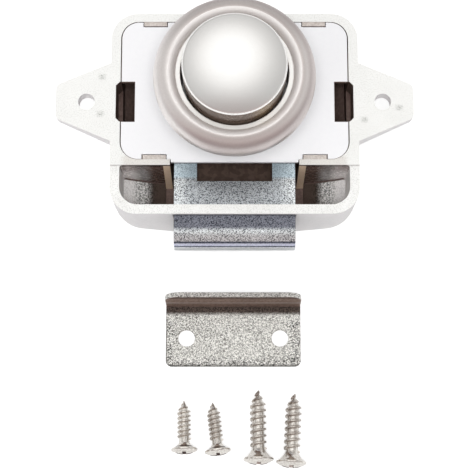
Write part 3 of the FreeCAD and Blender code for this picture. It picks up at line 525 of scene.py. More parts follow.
def dress(piece: Piece, materials: Materials, main: str,
          zones: Sequence[tuple[str, FaceTest]] = ()) -> None:
    """Give a piece its main finish, and faces that pass a test another.

    Args:
        piece: The piece.
        materials: Materials by finish name.
        main: Finish of all other faces.
        zones: Finish and test of each zone; a later one wins.
    """
    piece.data.materials.clear()
    piece.data.materials.append(materials[main])
    for index, (finish, test) in enumerate(zones, start=1):
        piece.data.materials.append(materials[finish])
        for face in piece.data.polygons:
            if test(face.center / MM, face.normal):
                face.material_index = index


def hand_over(piece: Piece, node: str, body: str, slot: str, materials: Materials | None = None,
              zones: Sequence[tuple[str, FaceTest]] = ()) -> None:
    """Give a finished piece to the frame in place of a node, dressed where materials are given."""
    if materials:
        dress(piece, materials, slot, zones)
    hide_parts(node)
    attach(piece, body)
    LOG.info("%s: %d faces", piece.name, len(piece.data.polygons))


@dataclass(frozen=True)
class Region:
    """Box of places, the same on both sides of the middle plane, open where no ends are given."""

    side: Pair = (-1.0, OPEN)
    y: Pair = (-OPEN, OPEN)
    z: Pair = (-OPEN, OPEN)

    def holds(self, place: Vector) -> bool:
        """Whether a place is inside."""
        values = (abs(place.x), place.y, place.z)
        spans = (self.side, self.y, self.z)
        return all(low < value < high for value, (low, high) in zip(values, spans))


@dataclass(frozen=True)
class Faces:
    """Test for faces whose middle lies in one of some boxes and whose normal in another."""

    boxes: tuple[Region, ...]
    normals: Region = Region()

    def __call__(self, centre: Vector, normal: Vector) -> bool:
        """Whether a face passes."""
        return self.normals.holds(normal) and any(box.holds(centre) for box in self.boxes)


WALL = Region(z=(-STEEP, STEEP))
FORWARD = Region(y=(-OPEN, -0.5))

CASE_MIDDLE_Y = -2.6
CASE_HOLLOW = Faces((Region((-1, 29.2), (-25.8, 20.5), (-22.3, -0.55)),), Region(z=(-0.8, 2)))
CASE_LOW_RIM = Region(y=(-OPEN, -15.8), z=(-0.95, OPEN))
CASE_CORE = Region((-1, 24), (-22, 18))
POCKET_WALLS = Faces((Region((15, 28.2), (-25.8, -15.5), (-22.3, -0.95)),), WALL)
POCKET_CORE = Region((-1, 23), (-24, OPEN))
FOLD_MIDDLE = Vector((0, -22, -10))
FOLD_HALF_WIDTH = 14.55


def faces_in(centre: Vector, normal: Vector) -> bool:
    """Whether a face of the case looks up, or towards the hollow without an overhang."""
    inwards = normal.x * centre.x + normal.y * (centre.y - CASE_MIDDLE_Y) < 0
    return normal.z > STEEP or (inwards and normal.z > -LEAN)


def is_inside(centre: Vector, normal: Vector) -> bool:
    """Anything inside the walls of the case, below the rim, which wears painted shade."""
    within = CASE_HOLLOW(centre, normal) and not CASE_LOW_RIM.holds(centre)
    return within and (CASE_CORE.holds(centre) or faces_in(centre, normal))


def is_pocket_side(centre: Vector, normal: Vector) -> bool:
    """Outer side and front of a pocket beside the bolt, with the round corner between them, which
    wear the painted highlight.
    """
    within = POCKET_WALLS(centre, normal) and not POCKET_CORE.holds(centre)
    return within and faces_in(centre, normal)


def is_in_fold(centre: Vector, normal: Vector) -> bool:
    """Inner side of the bolt's fold, which wears painted shade."""
    inwards = FOLD_MIDDLE - centre
    inwards.x = 0.0
    return abs(centre.x) < FOLD_HALF_WIDTH and normal.dot(inwards.normalized()) > FACING


@dataclass(frozen=True)
class RoundedPiece:
    """Frame node that gets rounded edges, a main finish and other finishes in places."""

    node: str
    body: str
    slot: str
    edge_round: float
    zones: tuple[tuple[str, FaceTest], ...] = ()

    def build(self, frame: dict, materials: Materials) -> None:
        """Round its edges and dress it."""
        piece = node_copy(frame, self.node)
        round_edges(piece, self.edge_round)
        hand_over(piece, self.node, self.body, self.slot, materials, self.zones)


ROUNDED_PIECES = (
    RoundedPiece("latch_case", "case", "cast_nickel", 0.22, (
        # Painted shade on the walls and the hollow, painted light and shade in the pockets.
        ("cast_flank", Faces((Region(z=(-OPEN, -0.55)),), WALL)),
        ("cast_inside", is_inside),
        ("pocket_floor", Faces(
            (Region((17.2, 28.2), (-25.8, -15.5), (-22.3, -5)),), Region(z=(STEEP, 2)))),
        ("pocket_side", is_pocket_side),
        ("pocket_wall", Faces(
            (Region((15, 28.2), (-18.5, -15.5), (-22.3, -0.75)),), Region(y=(-2, -0.4)))),
        ("gusset_beige", Faces((Region((15.4, 17.35), (-18.3, -15.6), (-17.3, -0.8)),), FORWARD)),
        ("stake_metal", Faces((
            Region((16.5, 22.3), (18.9, 20.35), (-0.3, OPEN)),
            Region((16.5, 22.3), (-14.35, -13.2), (-0.3, OPEN)),
        ))),
    )),
    RoundedPiece("cover_plate", "case", "cover_white", 0.2, (
        # Painted shade on the plate's sunk edges.
        ("cast_inside", Faces((Region(z=(-OPEN, -1.25)),))),
        # Painted shade of the gap on the plate's rounded edge.
        ("gap_brown", Faces(
            (Region((23.5, OPEN)), Region((21.5, OPEN), (-OPEN, 0))),
            Region(z=(-2, 0.97)))),
    )),
    # Painted shade inside the bolt's fold.
    RoundedPiece("bolt", "bolt", "bolt_zinc", 0.15, (("bolt_inside", is_in_fold),)),
    RoundedPiece("strike_plate", "case", "strike_zinc", 0.18, (
        # Painted reflection on the flange's inner face.
        ("flange_inside", Faces((Region(y=(-51, OPEN), z=(-OPEN, -13.7)),), FORWARD)),
    )),
    # The plunger's finish is painted shade.
    RoundedPiece("plunger", "knob", "plunger_zinc", 0.12),
)


@dataclass(frozen=True)
class CoilSpring:
    """Wire spring of the case, with its joint, axis, seat in metres, length and stroke."""

    node: str
    joint: str
    axis: Triple
    seat: Triple
    length: float
    stroke: float

    def build(self, frame: dict, materials: Materials) -> None:
        """Finish the wire and give it a mesh of its own."""
        piece = node_copy(frame, self.node)
        shade_smooth(piece, angle=40)
        hand_over(piece, self.node, "case", "spring_steel", materials)
        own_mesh(piece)


@dataclass
class KnobCap:
    """Domed knob, hollow inside, with a boss for the plunger."""

    radius: float = 11.75
    wall: float = 1.15
    skirt_end: float = 21.0
    edge_height: float = 30.0
    edge_bevel: float = 0.3
    dome_height: float = 2.3
    seat: float = 29.0
    boss_radius: float = 4.5
    boss_end: float = 16.0
    bore: float = 3.03
    bore_end: float = 28.03
    pin_hole: float = 1.03
    pin_height: float = 20.0
    foot_round: float = 0.2
    dome_steps: int = 26
    axis_gap: float = 0.02
    edge_band: float = 0.4
    edge_margin: float = 0.02

    def build(self, frame: dict, materials: Materials) -> None:
        """Turn the knob and drill its cross hole."""
        piece = turned_piece("knob_cap_finished", self.profile(), segments=144)
        deselect()
        bpy.ops.mesh.primitive_cylinder_add(
            vertices=24, radius=self.pin_hole * MM, depth=2 * (self.boss_radius + 1) * MM,
            location=(0, 0, self.pin_height * MM), rotation=(0, math.pi / 2, 0),
        )
        cut_away(piece, bpy.context.object)
        shade_smooth(piece, angle=25)
        hand_over(piece, "knob_cap", "knob", "knob_nickel", materials, [
            # Painted reflection on the skirt, painted highlight on the edge bevel.
            ("knob_skirt", lambda centre, normal: centre.z < self.edge_height - self.edge_bevel),
            ("bright_edge", self.is_edge),
        ])

    def is_edge(self, centre: Vector, normal: Vector) -> bool:
        """Narrow bevel between dome and skirt, which wears the painted highlight."""
        low = self.edge_height - self.edge_bevel - self.edge_margin
        outside = centre.xy.length > self.radius - self.edge_band
        return outside and low < centre.z < self.edge_height

    def profile(self) -> Profile:
        """Half profile from the bore outwards and over the dome to the middle."""
        inner = self.radius - self.wall
        span = self.radius - self.edge_bevel
        dome_radius = (span ** 2 + self.dome_height ** 2) / (2 * self.dome_height)
        dome = arc((span, self.edge_height), (self.axis_gap, self.edge_height + self.dome_height),
                   dome_radius, steps=self.dome_steps)
        foot = self.foot_round
        return [
            (self.bore, self.boss_end), (self.boss_radius, self.boss_end),
            (self.boss_radius, self.seat), (inner, self.seat),
            (inner, self.skirt_end + foot), (inner + foot, self.skirt_end),
            (self.radius - foot, self.skirt_end), (self.radius, self.skirt_end + foot),
            (self.radius, self.edge_height - self.edge_bevel), *dome,
            (self.axis_gap, self.bore_end), (self.bore, self.bore_end),
        ]


@dataclass
class Rosette:
    """Domed ring round the knob, hollow underneath."""

    rim: float = 18.5
    base: float = 19.2
    edge: float = 1.4
    crest: float = 15.2
    crown: float = 24.8
    dome_radius: float = 4.2
    crest_radius: float = 2.0
    lip: float = 13.4
    lip_height: float = 23.7
    bore: float = 12.3
    land_height: float = 23.4
    groove: float = 0.12
    tube_seat: float = 21.63
    sleeve: float = 12.93
    sleeve_outside: float = 14.03
    roof: float = 22.2
    inner_rim: float = 17.2
    edge_round: float = 0.18
    corner_share: float = 0.3
    slope: float = 0.06
    slope_start: float = 0.05
    land_band: float = 0.12

    def build(self, frame: dict, materials: Materials) -> None:
        """Turn the ring with its crest, thin groove and lip."""
        piece = turned_piece("rosette_finished", self.profile(), segments=160)
        shade_smooth(piece, angle=24)
        hand_over(piece, "rosette", "rosette", "rosette_nickel", materials, [
            ("slope_satin", self.is_inner_slope),
            # Painted highlight on the land round the hole.
            ("lip_cream", self.is_lip),
            # Painted shade underneath.
            ("cast_inside", self.is_under),
            ("rim_shadow", self.is_foot),
        ])

    def is_inner_slope(self, centre: Vector, normal: Vector) -> bool:
        """Slope that falls from the crest towards the land."""
        inwards = centre.xy.dot(normal.xy) < -self.slope * centre.xy.length
        return inwards and centre.z > self.land_height + self.slope_start

    def is_lip(self, centre: Vector, normal: Vector) -> bool:
        """Flat land round the hole, which wears the painted highlight."""
        high = centre.z > self.land_height - self.land_band and normal.z > FACING
        return high and centre.xy.length < self.lip - self.groove

    def is_under(self, centre: Vector, normal: Vector) -> bool:
        """Underside, bore and sleeve, which wear painted shade."""
        hidden = normal.z < -LEAN or centre.xy.length < self.sleeve_outside
        return hidden and centre.z < self.land_height - self.land_band

    def is_foot(self, centre: Vector, normal: Vector) -> bool:
        """Rounded foot of the outer edge."""
        return centre.xy.length > self.inner_rim and centre.z < self.base + self.edge_round

    def profile(self) -> Profile:
        """Half profile, from the sleeve over the underside, rim, crest and lip to the bore."""
        shoulder = self.base + self.edge
        soft = self.edge_round
        corner = soft * self.corner_share
        land_edge = self.land_height - self.groove / 2
        dome = arc((self.rim, shoulder), (self.crest, self.crown), self.dome_radius, steps=18)
        over = arc((self.crest, self.crown), (self.lip, self.lip_height), self.crest_radius,
                   steps=8)
        return [
            (self.sleeve, shoulder), (self.sleeve_outside, shoulder),
            (self.sleeve_outside, self.roof), (self.inner_rim, shoulder),
            (self.inner_rim, self.base), (self.rim - soft, self.base),
            (self.rim - corner, self.base + corner), (self.rim, self.base + soft),
            *dome[:-1], *over, (self.lip, land_edge), (self.lip - self.groove, land_edge),
            (self.lip - self.groove, self.land_height),
            (self.bore + soft / 2, self.land_height), (self.bore, self.land_height - soft / 2),
            (self.bore, self.tube_seat), (self.sleeve, self.tube_seat),
        ]


@dataclass(frozen=True)
class Lie:
    """Where a screw lies: middle of its head end, and its heading in degrees."""

    x: float
    y: float
    heading: float


@dataclass
class WoodScrews:
    """Two equal cross head wood screws with raised heads and helical threads, on the table."""

    node: str
    length: float
    head: float
    head_height: float
    neck_end: float
    thread: float
    thread_start: float
    pitch: float
    turns: int
    lies: tuple[Lie, Lie]
    core_share: float = 0.73
    rim: float = 0.4
    rim_round: Pair = (0.04, 0.05)
    under_rim: Pair = (0.1, 0.08)
    crown_flatness: float = 1.02
    neck_curve: float = 1.3
    point_share: float = 1.6
    point_bend: Pair = (0.6, 0.5)
    blunt: float = 0.1
    tip: float = 0.12
    recess_reach: float = 0.95
    recess_width: float = 0.42
    recess_depth: float = 1.9
    recess_taper: float = 0.4
    recess_margin: float = 0.1
    recess_zone: float = 0.8
    recess_facing: float = -0.45
    root_share: float = 0.9
    root_width: float = 0.6
    crest_share: float = 0.4
    steps: int = 22
    axis_gap: float = 0.03
    lie_reach: float = 0.75
    table: float = -24.0

    def build(self, materials: Materials) -> None:
        """Model one screw, copy it, lay both down and hand them over as one piece."""
        first = self.model(materials)
        second = first.copy()
        second.data = first.data.copy()
        bpy.context.scene.collection.objects.link(second)
        for piece, lie in zip((first, second), self.lies):
            self.lay_down(piece, lie)
        activate(first)
        second.select_set(True)
        bpy.ops.object.join()
        first.name = first.data.name = f"{self.node}_finished"
        hand_over(first, self.node, "case", "screw_nickel")

    def model(self, materials: Materials) -> Piece:
        """The upright screw, along +Z with the top of its head at zero."""
        piece = turned_piece(f"{self.node}_core", self.core_profile(), segments=48)
        self.cut_cross(piece)
        thread = self.helix()
        # Painted shade in the cross recess.
        dress(piece, materials, "screw_nickel", [("recess_dark", self.is_recess)])
        # The threads wear a darker painted-shade copy of the nickel.
        dress(thread, materials, "thread_nickel")
        activate(piece)
        thread.select_set(True)
        bpy.ops.object.join()
        shade_smooth(piece, angle=35)
        return piece

    @property
    def core(self) -> float:
        """Radius between the threads."""
        return self.thread * self.core_share

    @property
    def point(self) -> float:
        """Height at which the shank starts to taper."""
        return self.length - self.point_share * self.thread

    def is_recess(self, centre: Vector, normal: Vector) -> bool:
        """Walls and foot of the cross recess, which wear painted shade."""
        deep = centre.z < self.recess_depth + self.recess_margin
        within = centre.xy.length < self.head * self.recess_zone
        return deep and within and normal.z > self.recess_facing

    def core_profile(self) -> Profile:
        """Half profile of raised head, rim, flared neck, shank and point."""
        rise = self.head_height - self.rim
        dome_radius = (self.head ** 2 + rise ** 2) / (2 * rise) * self.crown_flatness
        inset, drop = self.rim_round
        crown = arc((self.axis_gap, 0.0), (self.head - inset, rise), dome_radius, steps=10)
        flare, step = self.under_rim
        top = Vector((self.head - flare, self.head_height + step))
        foot = Vector((self.core, self.neck_end))
        neck = arc(foot, top, (top - foot).length * self.neck_curve, steps=8)
        width, reach = self.point_bend
        return [
            *crown, (self.head, rise + drop), (self.head, self.head_height),
            *reversed(neck), (self.core, self.point),
            (self.core * width, self.point + reach * (self.length - self.point)),
            (self.core * self.blunt, self.length - self.tip), (self.axis_gap, self.length),
        ]

    def cut_cross(self, piece: Piece) -> None:
        """Cut the cross recess into the head, narrower at its foot."""
        for turn in (0.0, math.pi / 2):
            deselect()
            bpy.ops.mesh.primitive_cube_add(
                size=1.0, rotation=(0, 0, turn),
                scale=(
                    2 * self.recess_reach * self.head * MM, self.recess_width * self.head * MM,
                    2 * self.recess_depth * MM,
                ),
            )
            tool = bpy.context.object
            bpy.ops.object.transform_apply(location=True, rotation=True, scale=True)
            select_points(tool, lambda place: place.z > 0)
            share = self.recess_taper
            bpy.ops.transform.resize(value=(share, share, 1), center_override=(0, 0, 0))
            bpy.ops.object.mode_set(mode="OBJECT")
            cut_away(piece, tool)

    def helix(self) -> Piece:
        """Wind a closed thread of trapezoid section up the shank and taper it at the point."""
        start = self.thread_start
        root = self.core * self.root_share
        deep = self.thread - root
        middle = root + deep / 2
        deselect()
        bpy.ops.mesh.primitive_plane_add(
            size=1.0, rotation=(math.pi / 2, 0, 0), location=(middle * MM, 0, start * MM),
        )
        thread = bpy.context.object
        thread.scale = (deep * MM, self.root_width * self.pitch * MM, 1)
        bpy.ops.object.transform_apply(location=True, rotation=True, scale=True)
        select_points(thread, lambda place: place.x > middle)
        share = self.crest_share
        bpy.ops.transform.resize(value=(1, 1, share), center_override=(0, 0, start * MM))
        bpy.ops.mesh.select_all(action="SELECT")
        bpy.ops.mesh.delete(type="ONLY_FACE")
        bpy.ops.object.mode_set(mode="OBJECT")
        wind = thread.modifiers.new("wind", "SCREW")
        wind.axis = "Z"
        wind.angle = 2 * math.pi
        wind.screw_offset = self.pitch * MM
        wind.iterations = self.turns
        wind.steps = wind.render_steps = self.steps
        apply_modifiers(thread)
        close_and_turn_out(thread)
        self.taper(thread)
        return thread

    def taper(self, thread: Piece) -> None:
        """Narrow the thread with the point of the shank."""
        deselect()
        bpy.ops.object.empty_add(location=(0, 0, self.point * MM))
        foot = bpy.context.object
        heights = [vertex.co.z for vertex in thread.data.vertices]
        low, high = min(heights), max(heights)
        taper = thread.modifiers.new("taper", "SIMPLE_DEFORM")
        taper.deform_method = "TAPER"
        taper.deform_axis = "Z"
        taper.origin = foot
        taper.limits = ((self.point * MM - low) / (high - low), 1.0)
        taper.factor = self.blunt - 1
        apply_modifiers(thread)
        bpy.data.objects.remove(foot, do_unlink=True)

    def lay_down(self, piece: Piece, lie: Lie) -> None:
        """Turn an upright screw to its heading and set it on the table."""
        tilt = math.asin((self.head - self.thread) / (self.length * self.lie_reach))
        activate(piece)
        piece.rotation_euler = (-math.pi / 2 - tilt, 0, math.radians(lie.heading))
        bpy.ops.object.transform_apply(rotation=True)
        lowest = min(vertex.co.z for vertex in piece.data.vertices)
        piece.location = (lie.x * MM, lie.y * MM, self.table * MM - lowest)
        bpy.ops.object.transform_apply(location=True)


@dataclass(frozen=True)
class Lamp:
    """Round soft box aimed at the latch, with its place and size in metres and power in watts."""

    name: str
    place: Triple
    size: float
    power: float

    def build(self) -> None:
        """Hang the lamp, left out of reflections."""
        data = bpy.data.lights.new(self.name, "AREA")
        data.shape = "DISK"
        data.size = self.size
        data.energy = self.power
        lamp = bpy.data.objects.new(self.name, data)
        bpy.context.scene.collection.objects.link(lamp)
        lamp.location = self.place
        lamp.rotation_euler = (-Vector(self.place)).to_track_quat("-Z", "Y").to_euler()
        lamp.visible_glossy = False


@dataclass(frozen=True)
class Studio:
    """Table, lamps, surroundings and camera of the photograph; metres where not said otherwise."""

    table_height: float = -24.05 * MM
    table_width: float = 2.4
    table_tone: Triple = (0.85, 0.85, 0.85)
    table_lift: float = 0.4
    soft_level: float = 0.58
    tent_axis: Triple = (-0.05, 0.38, 0.92)
    tent_far: Triple = (0.52, 0.50, 0.50)
    tent_near: Triple = (1.12, 1.12, 1.11)
    tent_near_start: float = 0.96
    tent_levels: tuple[Pair, ...] = (
        (0.3, 0.74), (0.5, 0.62), (0.643, 0.54), (0.731, 0.60), (0.83, 0.76), (0.9, 0.98),
    )
    tent_warmth: Triple = (1.0, 0.985, 0.97)
    front_tint: Triple = (0.76, 0.67, 0.66)
    front_span: Pair = (-0.62, -0.12)
    lamps: tuple[Lamp, ...] = (
        Lamp("overhead box", (0.02, 0.05, 0.7), 0.6, 0.25),
        Lamp("camera box", (0.0, -0.11, 0.42), 0.12, 0.88),
        Lamp("front box", (-0.3, -0.35, 0.45), 0.3, 0.35),
    )
    camera_place: Triple = (0.0000972, -0.0891101, 0.3052253)
    camera_tilt: float = 10.423
    camera_reach: Pair = (0.01, 10.0)
    lens: float = 99.7
    sensor: float = 36.0

    def build(self) -> None:
        """Make everything that is not part of the latch."""
        self.make_table()
        self.make_world()
        for lamp in self.lamps:
            lamp.build()
        self.make_camera()

    def make_table(self) -> None:
        """White table that keeps soft contact shadows."""
        deselect()
        bpy.ops.mesh.primitive_plane_add(size=self.table_width, location=(0, 0, self.table_height))
        table = bpy.context.object
        table.name = "table"
        material = bpy.data.materials.new("table white")
        material.use_nodes = True
        tree = material.node_tree
        seen = add_node(tree, "LightPath").outputs["Is Camera Ray"]
        wire(tree, tree.nodes["Principled BSDF"], Base_Color=self.table_tone, Roughness=0.9,
             Specular_IOR_Level=0.0, Emission_Color=WHITE,
             Emission_Strength=calculate(tree, "MULTIPLY", seen, self.table_lift))
        table.data.materials.append(material)

    def make_world(self) -> None:
        """Tent for glossy surfaces, even light for others, and white behind the scene."""
        world = bpy.data.worlds.new("studio tent")
        bpy.context.scene.world = world
        world.use_nodes = True
        tree = world.node_tree
        tree.nodes.clear()
        rays = add_node(tree, "LightPath").outputs
        tent, even, white = (
            add_node(tree, "Background", Color=colour, Strength=level).outputs["Background"]
            for colour, level in (
                (self.tent_colour(tree), 1.0), (WHITE, self.soft_level), (WHITE, 1.0),
            )
        )
        light = add_node(tree, "MixShader", rays["Is Glossy Ray"], even, tent).outputs["Shader"]
        seen = add_node(tree, "MixShader", rays["Is Camera Ray"], light, white).outputs["Shader"]
        add_node(tree, "OutputWorld", Surface=seen)

    def tent_colour(self, tree: Tree) -> Socket:
        """Colour of the tent by direction: bright overhead, darker and warmer to the front."""
        way = add_node(tree, "TexCoord").outputs["Generated"]
        nearness = add_node(tree, "VectorMath", way, Vector(self.tent_axis).normalized(),
                            operation="DOT_PRODUCT")
        ramp = add_node(tree, "ValToRGB", nearness.outputs["Value"])
        stops = ramp.color_ramp.elements
        stops[0].position, stops[0].color = 0.0, opaque(self.tent_far)
        stops[1].position, stops[1].color = self.tent_near_start, opaque(self.tent_near)
        for position, level in self.tent_levels:
            stops.new(position).color = opaque(tuple(level * share for share in self.tent_warmth))
        along = add_node(tree, "SeparateXYZ", way).outputs["Y"]
        plain = ramp_up(tree, along, *self.front_span, soft=True)
        tint = mix(tree, plain, self.front_tint, WHITE)
        return mix(tree, 1.0, ramp.outputs["Color"], tint, blend=Blend.SHADE)

    def make_camera(self) -> None:
        """Camera above the table, a little below the latch, as in the photograph."""
        data = bpy.data.cameras.new("camera")
        data.lens = self.lens
        data.sensor_width = self.sensor
        data.clip_start, data.clip_end = self.camera_reach
        camera = bpy.data.objects.new("camera", data)
        bpy.context.scene.collection.objects.link(camera)
        camera.location = self.camera_place
        camera.rotation_euler = (math.radians(self.camera_tilt), 0, 0)
        bpy.context.scene.camera = camera
        bpy.context.scene.view_settings.view_transform = "Standard"


EJECTOR_MARKS = ((-32.3, 6.2), (-32.6, -3.1), (31.5, -4.5), (40.0, -1.5))

